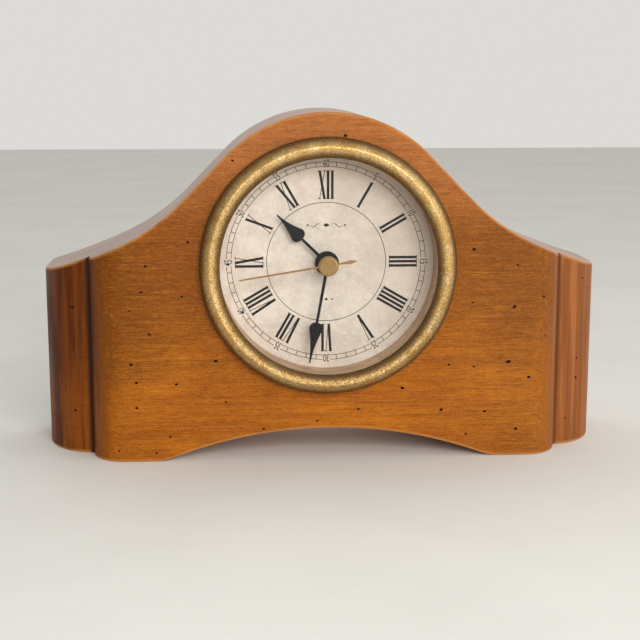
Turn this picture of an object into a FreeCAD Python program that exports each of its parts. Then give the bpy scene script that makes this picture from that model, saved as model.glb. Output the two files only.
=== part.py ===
"""Quartz mantel clock in a moulded wooden case, built piece by piece in millimetres.

+Z is up and the dial faces -Y, so +X is to the right of someone reading the clock.
The origin is at the middle of the base. Every piece is drawn with y = 0 on the front
board's face and y growing into the case, and the last loop moves each one by BACK_SHIFT
so that y = 0 is halfway through the clock's depth.
"""
import FreeCAD, Part
import math
import os

V = FreeCAD.Vector

# ---- Wooden case -------------------------------------------------------------------
CASE_WIDTH = 248.0
CASE_HEIGHT = 148.9
CASE_DEPTH = 66.0
BOARD_THICKNESS = 15.0       # front board
BOARD_SETBACK = 22.2         # how far the board's ends stop short of the case's ends
BOARD_END_RADIUS = 15.0      # quarter-round on the board's ends
END_CURVE_DEPTH = 28.5       # the body's ends sweep back over this depth
JOINT_GROOVE = 0.8           # shallow groove where board and body meet
BACK_EDGE = 2.5              # chamfer down the back edges of the ends
END_LAND = 0.01              # least flat left behind the board's rounded ends

CROWN_RADIUS = 60.0          # rounded top over the dial
CROWN_ANGLE = 45.8           # degrees from the top to the straight flank
FLANK_LENGTH = 24.4
COVE_RADIUS = 97.0           # hollow curve under the flank
COVE_END_ANGLE = 24.0
SHOULDER_RADIUS = 276.0      # long shallow curve out to the ends

ARCH_RADIUS = 188.0          # arch under the case
ARCH_HEIGHT = 13.7
FOOT_EASING = 24.0           # radius that eases the arch into each foot

# ---- Clock insert ------------------------------------------------------------------
DIAL_DROP = 64.6             # from the top of the case down to the dial's centre
INSERT_RADIUS = 47.4         # bore of the can and of the bezel behind its lip
CAN_WALL = 1.2
CAN_FLOOR = 1.2
CAN_FLANGE = 1.0             # thickness of the can's flange on the wood
CAN_FLANGE_WIDTH = 4.0
SLIP = 0.1                   # clearance of what drops into the insert
GRIP_BAND = 0.6              # rubber band between can and wood
GRIP_BAND_WIDTH = 7.0
BEZEL_HEIGHT = 8.0
BEZEL_WIDTH = 8.5            # from the lip's edge to the foot
BEZEL_LIP = 1.7              # how far the lip covers the lens
BEZEL_EDGE = 0.6             # upright edge at the bezel's foot
LIP_FRONT = 5.9              # the lip's front edge above the wood
BEZEL_APEX = 0.47            # the highest line, as a share of the width in from the foot
OUTER_BULGE = (0.29, 0.71)   # roundness outside the highest line: shares of width and height
INNER_BULGE = (0.45, 0.30)   # roundness inside it
LENS_THICKNESS = 1.5
LENS_BACK = 3.9              # the lens's back face above the wood
GASKET_THICKNESS = 1.0
GASKET_WIDTH = 1.0
WALL_RING = 0.6              # sleeve between lens and dial
DIAL_DEPTH = 13.2            # the dial's face behind the wood's face
DIAL_THICKNESS = 0.5

# ---- Hands (y is the middle of each hand) --------------------------------------------
HAND_THICKNESS = 0.4
HOUR_HAND_Y = 9.3
HOUR_REACH = 17.5            # from the hour hand's tip to the insert's bore
HOUR_SPADE_LENGTH = 14.9
HOUR_SPADE_WIDTH = 6.3
HOUR_BOSS_RADIUS = 5.2
HOUR_ANGLE = 314.4           # clockwise from twelve
SPADE_WAIST = 0.8            # the arm's width at the spade, as a share of its width at the boss
SPADE_LOBE = (0.38, 0.04)    # shares of the spade's width and length
SPADE_SHOULDER = (0.50, 0.19)
SPADE_FLANK = (0.20, 0.56)
SPADE_TIP = 0.27
MINUTE_HAND_Y = 5.1
MINUTE_REACH = 3.9           # from the minute hand's tip to the insert's bore
MINUTE_SPADE_LENGTH = 17.9
MINUTE_SPADE_WIDTH = 5.5
MINUTE_BOSS_RADIUS = 3.2
MINUTE_ANGLE = 190.3
SECOND_HAND_Y = 1.1
SECOND_REACH = 9.3           # from the second hand's tip to the insert's bore
SECOND_TAIL = 12.4
SECOND_ANGLE = 261.0
CAP_RADIUS = 4.25
CAP_HEIGHT = 2.5
CAP_FACE = 0.8               # the flat face, as a share of the radius
CAP_UNDERCUT = 0.4           # how far the rim rolls in at the back
CAP_BULGE = 0.5              # where the rim is widest, as a share of the height
ARM_WIDTH = 1.4
SECOND_WIDTH = 0.9
SECOND_THICKNESS = 0.3
SECOND_COLLET = 2.2
SECOND_TIP = 0.30            # half the blade's width at its tip
DIAMOND_LENGTH = 5.2
DIAMOND_WIDTH = 1.8
DIAMOND_WIDEST = 0.4         # share of the diamond's length
DIAMOND_TIP = 0.2
COLLET_WALL = 0.6
COLLET_LENGTH = 0.4
PIPE_PROUD = 0.2             # how far a pipe's end stands in front of its hand

# ---- Arbors and pipes ----------------------------------------------------------------
RUNNING = 0.05               # radial clearance of turning parts
SECOND_ARBOR_RADIUS = 0.5
CANNON_RADIUS = 1.6
HOUR_PIPE_RADIUS = 2.7
BUSHING_RADIUS = 3.5
BUSHING_FLANGE_RADIUS = 4.6
BUSHING_FLANGE = 0.5
BUSHING_PROUD = 0.2
ARBOR_RADIUS = 0.6
PIVOT_RADIUS = 0.4
PIVOT_LENGTH = 1.0
SETTING_ARBOR_RADIUS = 1.2
NUT_ACROSS_FLATS = 8.2
NUT_THICKNESS = 2.2
WASHER_RADIUS = 4.6
WASHER_THICKNESS = 0.5

# ---- Movement --------------------------------------------------------------------------
MOVEMENT_SIZE = 56.0         # square case
MOVEMENT_DEPTH = 16.0
MOVEMENT_WALL = 1.2
MOVEMENT_PLATE = 1.4
MOVEMENT_RISE = 25.0         # from the centre arbor up to the movement's top
CORNER_RADIUS = 2.0
SHAKE = 0.1                  # end play of every arbor
LEAST_CORNER = 0.3           # smallest corner radius inside the movement

CELL_RADIUS = 7.25
CELL_LENGTH = 50.5
CELL_NUB_RADIUS = 2.7
CELL_NUB_LENGTH = 1.2
CELL_EDGE = 0.8              # rounded edges of the cell
CELL_CLEARANCE = 0.35
PARTITION = 1.2              # wall between the train and the battery bay
CONTACT_THICKNESS = 0.4
CONTACT_WIDTH = 4.0
CONTACT_NOTCH = 0.6          # gap at each end of the bay's wall for a contact
CONTACT_FOOT = 3.0           # how far a contact runs below the cell's middle
CONTACT_TOP = 2.0            # how far it stops below the board's top
CONTACT_RISE = 3.0           # the negative contact's riser, in from the board's left end

KNOB_RADIUS = 6.0
KNOB_THICKNESS = 3.0
KNOB_CLEARANCE = 0.3
KNOB_SCALLOPS = 12
SCALLOP_RADIUS = 0.9
SCALLOP_OFFSET = 0.27        # scallop centres outside the knob's rim

COIL_LENGTH = 19.0
COIL_RADIUS = 3.1
COIL_CLEARANCE = 0.3         # between the coil and the movement's top wall
BOBBIN_CHEEK = 1.0
BOBBIN_WALL = 0.6
CHEEK_PROUD = 0.2            # how far a cheek stands above the winding
CORE_THICKNESS = 1.2
CORE_HALF = 1.0
STATOR_THICKNESS = 1.2
STATOR_BAR = 5.0
STATOR_BELOW = 1.5           # the bar's edges below and above the rotor's arbor
STATOR_ABOVE = 3.0
STATOR_LEG_END = 1.0         # how far the legs run past the coil's core
MAGNET_RADIUS = 3.0
MAGNET_LENGTH = 3.0
ROTOR_GAP = 0.5
EYE_RIM = 1.0                # metal left around the rotor's hole
BOARD_SIZE = (21.6, 10.0)
CIRCUIT_THICKNESS = 0.8
CRYSTAL_RADIUS = 1.0
CRYSTAL_LENGTH = 6.0
CRYSTAL_PLACE = (1.5, 2.5)   # from the board's left and top edges
CHIP_RADIUS = 2.6
CHIP_HEIGHT = 1.0
CHIP_PLACE = (15.12, 5.0)    # from the board's left and top edges
POST_RADIUS = 0.9
POST_DROP = 5.0              # posts below the board's top edge
POST_PLACES = (-23.0, -8.5)  # left and right post
MAGNET_COLLAR = 0.8
MAGNET_LAYER = 6.1           # middle of the rotor's magnet behind the movement's front
CIRCUIT_LAYER = 9.1
HUB_WALL = 0.2               # hub between a wheel and its pinion, outside the arbor
OVERCUT = 1.0                # how far a cutting shape runs past the face it opens

# ---- Gear train: teeth, centre distances and directions ----------------------------------
ADDENDUM = 0.8               # in modules
DEDENDUM = 1.15
TOOTH_ROOT_HALF = 0.25       # half the tooth, as a share of the pitch
TOOTH_TIP_HALF = 0.10
WHEEL_THICKNESS = 0.8
PINION_THICKNESS = 1.2

SECOND_TEETH, INTERMEDIATE_PINION_TEETH = 48, 12
THIRD_TEETH, SECOND_PINION_TEETH = 64, 8
CENTRE_TEETH, THIRD_PINION_TEETH = 60, 8
MOTION_TEETH, MINUTE_PINION_TEETH = 36, 12
HOUR_TEETH, MOTION_PINION_TEETH = 40, 10
INTERMEDIATE_TEETH, ROTOR_PINION_TEETH = 60, 8

THIRD_DISTANCE, THIRD_DIRECTION = 10.08, 165.0
MOTION_DISTANCE, MOTION_DIRECTION = 10.8, -25.0
INTERMEDIATE_DISTANCE, INTERMEDIATE_DIRECTION = 10.35, 70.0
ROTOR_DISTANCE, ROTOR_DIRECTION = 8.5, 20.0      # measured from the intermediate arbor

# Depth of each gear layer behind the movement's front face.
HOUR_LAYER = 2.6
MINUTE_LAYER = 4.4
CENTRE_LAYER = 6.2
THIRD_LAYER = 8.0
SECOND_LAYER = 9.8
INTERMEDIATE_LAYER = 11.6

# ---- Places worked out from the sizes above ----------------------------------------------
HALF_WIDTH = CASE_WIDTH / 2
BOARD_HALF = HALF_WIDTH - BOARD_SETBACK
DIAL_Z = CASE_HEIGHT - DIAL_DROP
CAN_RADIUS = INSERT_RADIUS + CAN_WALL
BORE_RADIUS = CAN_RADIUS + GRIP_BAND
LIP_RADIUS = INSERT_RADIUS - BEZEL_LIP
BEZEL_RADIUS = LIP_RADIUS + BEZEL_WIDTH
DROP_IN_RADIUS = INSERT_RADIUS - SLIP
HOUR_LENGTH = INSERT_RADIUS - HOUR_REACH
MINUTE_LENGTH = INSERT_RADIUS - MINUTE_REACH
SECOND_LENGTH = INSERT_RADIUS - SECOND_REACH
LENS_FRONT = LENS_BACK + LENS_THICKNESS
DIAL_BACK = DIAL_DEPTH + DIAL_THICKNESS
MOVEMENT_FRONT = DIAL_BACK + CAN_FLOOR
MOVEMENT_BACK = MOVEMENT_FRONT + MOVEMENT_DEPTH
INSIDE_FRONT = MOVEMENT_FRONT + MOVEMENT_PLATE
INSIDE_BACK = MOVEMENT_BACK - MOVEMENT_PLATE
MOVEMENT_HALF = MOVEMENT_SIZE / 2
MOVEMENT_TOP = DIAL_Z + MOVEMENT_RISE
MOVEMENT_BOTTOM = MOVEMENT_TOP - MOVEMENT_SIZE
CELL_Z = MOVEMENT_BOTTOM + MOVEMENT_WALL + CELL_CLEARANCE + CELL_RADIUS
CELL_Y = INSIDE_FRONT + CELL_CLEARANCE + CELL_RADIUS
BAY_TOP = CELL_Z + CELL_RADIUS + CELL_CLEARANCE
CELL_LEFT = CELL_NUB_LENGTH - CELL_LENGTH / 2
CELL_WINDOW = CELL_LENGTH / 2 + CELL_CLEARANCE
CONTACT_FRONT = CELL_Y - CONTACT_WIDTH / 2
KNOB_BACK = MOVEMENT_BACK + KNOB_THICKNESS + KNOB_CLEARANCE
MAGNET_FRONT = MOVEMENT_FRONT + MAGNET_LAYER - MAGNET_LENGTH / 2
MAGNET_BACK = MAGNET_FRONT + MAGNET_LENGTH
CIRCUIT_FRONT = MOVEMENT_FRONT + CIRCUIT_LAYER
CIRCUIT_BACK = CIRCUIT_FRONT + CIRCUIT_THICKNESS
BOARD_LEFT = -MOVEMENT_HALF + MOVEMENT_WALL + CONTACT_THICKNESS
BOARD_TOP = MOVEMENT_TOP - MOVEMENT_WALL - SLIP
COIL_Z = MOVEMENT_TOP - MOVEMENT_WALL - COIL_RADIUS - COIL_CLEARANCE
COIL_Y = MAGNET_FRONT + (MAGNET_LENGTH + STATOR_THICKNESS + CORE_THICKNESS) / 2
BACK_SHIFT = (BEZEL_HEIGHT - CASE_DEPTH) / 2     # puts the middle of the depth on y = 0


def polar(distance, degrees, start=(0.0, 0.0)):
    """Point in the dial's plane, measured from the centre arbor: (right, up)."""
    angle = math.radians(degrees)
    return (start[0] + distance * math.cos(angle), start[1] + distance * math.sin(angle))


CENTRE = (0.0, 0.0)
THIRD = polar(THIRD_DISTANCE, THIRD_DIRECTION)
MOTION = polar(MOTION_DISTANCE, MOTION_DIRECTION)
INTERMEDIATE = polar(INTERMEDIATE_DISTANCE, INTERMEDIATE_DIRECTION)
ROTOR = polar(ROTOR_DISTANCE, ROTOR_DIRECTION, INTERMEDIATE)
POSTS = [(right, BOARD_TOP - DIAL_Z - POST_DROP) for right in POST_PLACES]


# ---- Small makers ------------------------------------------------------------------------
def at(place, y):
    """A point from (right, up) about the centre arbor and a depth."""
    return V(place[0], y, DIAL_Z + place[1])


def rod(radius, front, back, place=CENTRE):
    return Part.makeCylinder(radius, back - front, at(place, front), V(0, 1, 0))


def tube(outer, inner, front, back, place=CENTRE):
    return rod(outer, front, back, place).cut(rod(inner, front - OVERCUT, back + OVERCUT, place))


def block(left, right, front, back, bottom, top):
    return Part.makeBox(right - left, back - front, top - bottom, V(left, front, bottom))


def arc(start, middle, end):
    return Part.Arc(start, middle, end).toShape()


def line(start, end):
    return Part.LineSegment(start, end).toShape()


def prism(edges, direction):
    return Part.Face(Part.Wire(edges)).extrude(direction)


def turned(edges):
    """Turns a closed outline, drawn as (radius, y) about the centre arbor, into a ring."""
    return Part.Face(Part.Wire(edges)).revolve(V(0, 0, DIAL_Z), V(0, 1, 0), 360)


def joined(first, *others):
    return first.fuse(list(others)).removeSplitter()


def mirrored(shape):
    return shape.mirror(V(0, 0, 0), V(1, 0, 0))


def on_circle(centre, radius, degrees, y=0.0):
    """Point on a circle in the XZ plane, measured clockwise from straight up."""
    angle = math.radians(degrees)
    return V(centre[0] + radius * math.sin(angle), y, centre[1] + radius * math.cos(angle))


# ---- Wooden case -------------------------------------------------------------------------
def half_outline():
    """Right half of the case's front outline, from the crown down to the arch's top."""
    crown = (0.0, CASE_HEIGHT - CROWN_RADIUS)
    top = on_circle(crown, CROWN_RADIUS, 0)
    flank_start = on_circle(crown, CROWN_RADIUS, CROWN_ANGLE)
    slope = math.radians(CROWN_ANGLE)
    flank_end = flank_start + V(math.cos(slope), 0, -math.sin(slope)) * FLANK_LENGTH

    cove = (flank_end.x + COVE_RADIUS * math.sin(slope), flank_end.z + COVE_RADIUS * math.cos(slope))
    cove_turn = 180 + CROWN_ANGLE
    cove_end_turn = 180 + COVE_END_ANGLE
    cove_end = on_circle(cove, COVE_RADIUS, cove_end_turn)
    cove_middle = on_circle(cove, COVE_RADIUS, (cove_turn + cove_end_turn) / 2)

    grow = SHOULDER_RADIUS / COVE_RADIUS
    shoulder = (cove_end.x + (cove[0] - cove_end.x) * grow, cove_end.z + (cove[1] - cove_end.z) * grow)
    end_turn = 180 + math.degrees(math.asin((shoulder[0] - HALF_WIDTH) / SHOULDER_RADIUS))
    tip = on_circle(shoulder, SHOULDER_RADIUS, end_turn)
    shoulder_middle = on_circle(shoulder, SHOULDER_RADIUS, (end_turn + cove_end_turn) / 2)

    arch = (0.0, ARCH_HEIGHT - ARCH_RADIUS)
    foot_x = math.sqrt((ARCH_RADIUS + FOOT_EASING) ** 2 - (FOOT_EASING - arch[1]) ** 2)
    foot_turn = math.degrees(math.asin(foot_x / (ARCH_RADIUS + FOOT_EASING)))
    foot = (foot_x, FOOT_EASING)
    arch_end = on_circle(arch, ARCH_RADIUS, foot_turn)
    return [
        arc(top, on_circle(crown, CROWN_RADIUS, CROWN_ANGLE / 2), flank_start),
        line(flank_start, flank_end),
        arc(flank_end, cove_middle, cove_end),
        arc(cove_end, shoulder_middle, tip),
        line(tip, V(HALF_WIDTH, 0, 0)),
        line(V(HALF_WIDTH, 0, 0), V(foot_x, 0, 0)),
        arc(V(foot_x, 0, 0), on_circle(foot, FOOT_EASING, 180 + foot_turn / 2), arch_end),
        arc(arch_end, on_circle(arch, ARCH_RADIUS, foot_turn / 2), V(0, 0, ARCH_HEIGHT)),
        line(V(0, 0, ARCH_HEIGHT), top),
    ]


def moulded_blank(front, back):
    """The full width of the case's outline between two depths."""
    half = prism(half_outline(), V(0, back - front, 0))
    half.translate(V(0, front, 0))
    return joined(half, mirrored(half))


def plan_prism(edges):
    """A half plan, drawn at z = 0 from x = 0 outwards, made full width and full height."""
    half = prism(edges, V(0, 0, CASE_HEIGHT + 2 * OVERCUT))
    half.translate(V(0, 0, -OVERCUT))
    return joined(half, mirrored(half))


def front_board():
    flat = BOARD_HALF - BOARD_END_RADIUS
    diagonal = BOARD_END_RADIUS * math.sqrt(0.5)
    bulge = V(flat + diagonal, BOARD_END_RADIUS - diagonal, 0)
    back = max(BOARD_THICKNESS, BOARD_END_RADIUS + END_LAND)
    edges = [
        line(V(0, 0, 0), V(flat, 0, 0)),
        arc(V(flat, 0, 0), bulge, V(BOARD_HALF, BOARD_END_RADIUS, 0)),
        line(V(BOARD_HALF, BOARD_END_RADIUS, 0), V(BOARD_HALF, back, 0)),
        line(V(BOARD_HALF, back, 0), V(0, back, 0)),
        line(V(0, back, 0), V(0, 0, 0)),
    ]
    board = moulded_blank(0, BOARD_THICKNESS).common(plan_prism(edges))
    return board.cut(rod(BORE_RADIUS, -OVERCUT, BOARD_THICKNESS + OVERCUT))


def case_body():
    """The body's ends start in a groove beside the board and sweep out to the full width."""
    front = BOARD_THICKNESS
    curve_start = front + JOINT_GROOVE
    curve_end = curve_start + END_CURVE_DEPTH
    groove = BOARD_HALF - JOINT_GROOVE
    diagonal = math.sqrt(0.5)
    to_ellipse = FreeCAD.Matrix()
    to_ellipse.scale(BOARD_SETBACK, END_CURVE_DEPTH, 1)
    quarter = arc(V(0, -1, 0), V(diagonal, -diagonal, 0), V(1, 0, 0)).transformGeometry(to_ellipse)
    sweep = quarter.translated(V(BOARD_HALF, curve_end, 0)).Edges[0]
    wide = HALF_WIDTH - BACK_EDGE
    edges = [
        line(V(0, front, 0), V(groove, front, 0)),
        line(V(groove, front, 0), V(groove, curve_start, 0)),
        line(V(groove, curve_start, 0), V(BOARD_HALF, curve_start, 0)),
        sweep,
        line(V(HALF_WIDTH, curve_end, 0), V(HALF_WIDTH, CASE_DEPTH - BACK_EDGE, 0)),
        line(V(HALF_WIDTH, CASE_DEPTH - BACK_EDGE, 0), V(wide, CASE_DEPTH, 0)),
        line(V(wide, CASE_DEPTH, 0), V(0, CASE_DEPTH, 0)),
        line(V(0, CASE_DEPTH, 0), V(0, front, 0)),
    ]
    body = moulded_blank(front, CASE_DEPTH).common(plan_prism(edges))
    return body.cut(rod(BORE_RADIUS, front - OVERCUT, CASE_DEPTH + OVERCUT))


# ---- Clock insert ------------------------------------------------------------------------
def bezel_ring():
    apex = V(BEZEL_RADIUS - BEZEL_WIDTH * BEZEL_APEX, -BEZEL_HEIGHT, DIAL_Z)
    foot = V(BEZEL_RADIUS, 0, DIAL_Z)
    edge = V(BEZEL_RADIUS, -BEZEL_EDGE, DIAL_Z)
    lip = V(LIP_RADIUS, -LIP_FRONT, DIAL_Z)
    seat = V(LIP_RADIUS, -LENS_FRONT, DIAL_Z)
    bore = V(INSERT_RADIUS, -LENS_FRONT, DIAL_Z)
    flange = CAN_RADIUS + CAN_FLANGE_WIDTH + SLIP
    outer_bulge = V(edge.x - (edge.x - apex.x) * OUTER_BULGE[0],
                    edge.y + (apex.y - edge.y) * OUTER_BULGE[1], DIAL_Z)
    inner_bulge = V(lip.x + (apex.x - lip.x) * INNER_BULGE[0],
                    apex.y + (lip.y - apex.y) * INNER_BULGE[1], DIAL_Z)
    return turned([
        line(foot, edge),
        arc(edge, outer_bulge, apex),
        arc(apex, inner_bulge, lip),
        line(lip, seat),
        line(seat, bore),
        line(bore, V(INSERT_RADIUS, -CAN_FLANGE, DIAL_Z)),
        line(V(INSERT_RADIUS, -CAN_FLANGE, DIAL_Z), V(flange, -CAN_FLANGE, DIAL_Z)),
        line(V(flange, -CAN_FLANGE, DIAL_Z), V(flange, 0, DIAL_Z)),
        line(V(flange, 0, DIAL_Z), foot),
    ])


def glass_lens():
    return rod(DROP_IN_RADIUS, -LENS_FRONT, -LENS_BACK)


def lens_gasket():
    return tube(DROP_IN_RADIUS, DROP_IN_RADIUS - GASKET_WIDTH, -LENS_BACK, GASKET_THICKNESS - LENS_BACK)


def inner_wall_ring():
    return tube(DROP_IN_RADIUS, DROP_IN_RADIUS - WALL_RING, GASKET_THICKNESS - LENS_BACK, DIAL_DEPTH)


def dial_plate():
    return tube(DROP_IN_RADIUS, BUSHING_RADIUS + SLIP, DIAL_DEPTH, DIAL_BACK)


def insert_can():
    cup = rod(CAN_RADIUS, 0, MOVEMENT_FRONT)
    flange = rod(CAN_RADIUS + CAN_FLANGE_WIDTH, -CAN_FLANGE, 0)
    can = joined(cup, flange).cut(rod(INSERT_RADIUS, -CAN_FLANGE - OVERCUT, DIAL_BACK))
    return can.cut(rod(BUSHING_RADIUS + SLIP, DIAL_BACK - OVERCUT, MOVEMENT_FRONT + OVERCUT))


def grip_band():
    middle = MOVEMENT_FRONT / 2
    return tube(BORE_RADIUS, CAN_RADIUS, middle - GRIP_BAND_WIDTH / 2, middle + GRIP_BAND_WIDTH / 2)


def dial_washer():
    return tube(WASHER_RADIUS, BUSHING_RADIUS, DIAL_DEPTH - WASHER_THICKNESS, DIAL_DEPTH)


def hex_nut():
    corner = NUT_ACROSS_FLATS / math.sqrt(3)
    front = DIAL_DEPTH - WASHER_THICKNESS - NUT_THICKNESS
    corners = [at(polar(corner, 60 * turn), front) for turn in range(7)]
    nut = prism([Part.makePolygon(corners)], V(0, NUT_THICKNESS, 0))
    return nut.cut(rod(BUSHING_RADIUS, front - OVERCUT, DIAL_DEPTH))


def threaded_bushing():
    front = DIAL_DEPTH - WASHER_THICKNESS - NUT_THICKNESS - BUSHING_PROUD
    shank = rod(BUSHING_RADIUS, front, INSIDE_FRONT)
    flange = rod(BUSHING_FLANGE_RADIUS, INSIDE_FRONT, INSIDE_FRONT + BUSHING_FLANGE)
    return joined(shank, flange).cut(rod(HOUR_PIPE_RADIUS + RUNNING, front - OVERCUT, INSIDE_BACK))


# ---- Hands -------------------------------------------------------------------------------
def spade(y, length, rise, width, boss_radius, bore, angle):
    """A tapered arm that swells into a spade with a drawn-out point, set at an angle."""
    front = y - HAND_THICKNESS / 2
    neck = length - rise
    arm = ARM_WIDTH / 2

    def side(sign):
        root = V(sign * arm, front, 0)
        waist = V(sign * arm * SPADE_WAIST, front, neck)
        lobe = V(sign * width * SPADE_LOBE[0], front, neck + rise * SPADE_LOBE[1])
        shoulder = V(sign * width * SPADE_SHOULDER[0], front, neck + rise * SPADE_SHOULDER[1])
        flank = V(sign * width * SPADE_FLANK[0], front, neck + rise * SPADE_FLANK[1])
        tip = V(sign * SPADE_TIP, front, length)
        return [line(root, waist), arc(waist, lobe, shoulder), arc(shoulder, flank, tip)]

    right = side(1)
    left = side(-1)
    foot = line(V(-arm, front, 0), V(arm, front, 0))
    point = line(V(-SPADE_TIP, front, length), V(SPADE_TIP, front, length))
    outline = Part.Wire(Part.__sortEdges__(right + left + [foot, point]))
    blade = Part.Face(outline).extrude(V(0, HAND_THICKNESS, 0))
    blade.translate(V(0, 0, DIAL_Z))
    boss = rod(boss_radius, front, front + HAND_THICKNESS)
    back = front + HAND_THICKNESS + COLLET_LENGTH
    collet = rod(bore + COLLET_WALL, front, back)
    hand = joined(blade, boss, collet).cut(rod(bore, front - OVERCUT, back + OVERCUT))
    return hand.rotate(V(0, 0, DIAL_Z), V(0, 1, 0), angle)


def hour_hand():
    return spade(HOUR_HAND_Y, HOUR_LENGTH, HOUR_SPADE_LENGTH, HOUR_SPADE_WIDTH,
                 HOUR_BOSS_RADIUS, HOUR_PIPE_RADIUS, HOUR_ANGLE)


def minute_hand():
    return spade(MINUTE_HAND_Y, MINUTE_LENGTH, MINUTE_SPADE_LENGTH, MINUTE_SPADE_WIDTH,
                 MINUTE_BOSS_RADIUS, CANNON_RADIUS, MINUTE_ANGLE)


def second_hand():
    """A fine blade with a small diamond on its tail, pressed on the second arbor."""
    front = SECOND_HAND_Y - SECOND_THICKNESS / 2
    half = SECOND_WIDTH / 2
    diamond_start = SECOND_TAIL - DIAMOND_LENGTH
    right = [
        (SECOND_TIP, SECOND_LENGTH),
        (half, 0),
        (half, -diamond_start),
        (DIAMOND_WIDTH / 2, -diamond_start - DIAMOND_LENGTH * DIAMOND_WIDEST),
        (DIAMOND_TIP, -SECOND_TAIL),
    ]
    left = [(-across, along) for across, along in reversed(right)]
    outline = Part.makePolygon([at(point, front) for point in right + left + right[:1]])
    blade = prism([outline], V(0, SECOND_THICKNESS, 0))
    back = front + SECOND_THICKNESS + SECOND_COLLET
    collet = rod(SECOND_ARBOR_RADIUS + COLLET_WALL, front, back)
    hand = joined(blade, collet).cut(rod(SECOND_ARBOR_RADIUS, front - OVERCUT, back + OVERCUT))
    return hand.rotate(V(0, 0, DIAL_Z), V(0, 1, 0), SECOND_ANGLE)


def second_hand_cap():
    """A round cap with a rolled rim that hides the second hand's collet."""
    back = SECOND_HAND_Y - SECOND_THICKNESS / 2
    front = back - CAP_HEIGHT
    rim_back = V(CAP_RADIUS - CAP_UNDERCUT, back, DIAL_Z)
    rim_middle = V(CAP_RADIUS, back - CAP_HEIGHT * CAP_BULGE, DIAL_Z)
    rim_front = V(CAP_RADIUS * CAP_FACE, front, DIAL_Z)
    return turned([
        line(V(0, back, DIAL_Z), rim_back),
        arc(rim_back, rim_middle, rim_front),
        line(rim_front, V(0, front, DIAL_Z)),
        line(V(0, front, DIAL_Z), V(0, back, DIAL_Z)),
    ])


# ---- Gear train --------------------------------------------------------------------------
def gear(teeth, mate_teeth, distance, place, layer, thickness, tooth_direction):
    """A spur gear with one tooth at tooth_direction (degrees from +X in the dial's plane)."""
    module = 2 * distance / (teeth + mate_teeth)
    pitch_radius = module * teeth / 2
    root_radius = pitch_radius - DEDENDUM * module
    tip_radius = pitch_radius + ADDENDUM * module
    pitch = 360.0 / teeth
    front = MOVEMENT_FRONT + layer - thickness / 2
    corners = []
    for tooth in range(teeth):
        middle = tooth_direction + tooth * pitch
        corners.append(polar(root_radius, middle - TOOTH_ROOT_HALF * pitch, place))
        corners.append(polar(tip_radius, middle - TOOTH_TIP_HALF * pitch, place))
        corners.append(polar(tip_radius, middle + TOOTH_TIP_HALF * pitch, place))
        corners.append(polar(root_radius, middle + TOOTH_ROOT_HALF * pitch, place))
    corners.append(corners[0])
    outline = Part.makePolygon([at(corner, front) for corner in corners])
    return prism([outline], V(0, thickness, 0))


def wheel(teeth, mate_teeth, distance, place, layer, towards):
    """The larger gear of a pair, with a tooth on the line to its mate."""
    return gear(teeth, mate_teeth, distance, place, layer, WHEEL_THICKNESS, towards)


def pinion(teeth, mate_teeth, distance, place, layer, towards):
    """The smaller gear of a pair, with a gap on the line to its mate."""
    return gear(teeth, mate_teeth, distance, place, layer, PINION_THICKNESS, towards + 180.0 / teeth)


def front_pivot(place):
    return rod(PIVOT_RADIUS, INSIDE_FRONT - PIVOT_LENGTH + SHAKE, INSIDE_FRONT + PIVOT_LENGTH, place)


def back_pivot(place):
    return rod(PIVOT_RADIUS, INSIDE_BACK - PIVOT_LENGTH, INSIDE_BACK + PIVOT_LENGTH - SHAKE, place)


def staff(place):
    """An arbor between the plates, with a pivot at each end."""
    body = rod(ARBOR_RADIUS, INSIDE_FRONT + SHAKE, INSIDE_BACK - SHAKE, place)
    return body, front_pivot(place), back_pivot(place)


def hour_wheel():
    teeth = wheel(HOUR_TEETH, MOTION_PINION_TEETH, MOTION_DISTANCE, CENTRE, HOUR_LAYER, MOTION_DIRECTION)
    back = MOVEMENT_FRONT + HOUR_LAYER + WHEEL_THICKNESS / 2
    pipe = rod(HOUR_PIPE_RADIUS, HOUR_HAND_Y - HAND_THICKNESS / 2 - PIPE_PROUD, back)
    return joined(teeth, pipe).cut(rod(CANNON_RADIUS + RUNNING, 0, back + OVERCUT))


def minute_cannon():
    """Tube that carries the minute hand, with the pinion that drives the motion wheel."""
    teeth = pinion(MINUTE_PINION_TEETH, MOTION_TEETH, MOTION_DISTANCE, CENTRE, MINUTE_LAYER,
                   MOTION_DIRECTION)
    back = MOVEMENT_FRONT + CENTRE_LAYER + WHEEL_THICKNESS / 2
    pipe = rod(CANNON_RADIUS, MINUTE_HAND_Y - HAND_THICKNESS / 2 - PIPE_PROUD, back)
    return joined(teeth, pipe).cut(rod(SECOND_ARBOR_RADIUS + RUNNING, 0, back + OVERCUT))


def center_wheel():
    teeth = wheel(CENTRE_TEETH, THIRD_PINION_TEETH, THIRD_DISTANCE, CENTRE, CENTRE_LAYER, THIRD_DIRECTION)
    middle = MOVEMENT_FRONT + CENTRE_LAYER
    return teeth.cut(rod(CANNON_RADIUS, middle - OVERCUT, middle + OVERCUT))


def second_wheel():
    """Wheel and pinion moulded on the second arbor, just behind the cannon."""
    teeth = wheel(SECOND_TEETH, INTERMEDIATE_PINION_TEETH, INTERMEDIATE_DISTANCE, CENTRE,
                  SECOND_LAYER, INTERMEDIATE_DIRECTION)
    leaves = pinion(SECOND_PINION_TEETH, THIRD_TEETH, THIRD_DISTANCE, CENTRE, THIRD_LAYER, THIRD_DIRECTION)
    hub_back = MOVEMENT_FRONT + SECOND_LAYER + WHEEL_THICKNESS / 2
    hub = rod(ARBOR_RADIUS + HUB_WALL, MOVEMENT_FRONT + THIRD_LAYER, hub_back)
    return joined(teeth, leaves, hub).cut(rod(SECOND_ARBOR_RADIUS, 0, MOVEMENT_BACK))


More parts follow.
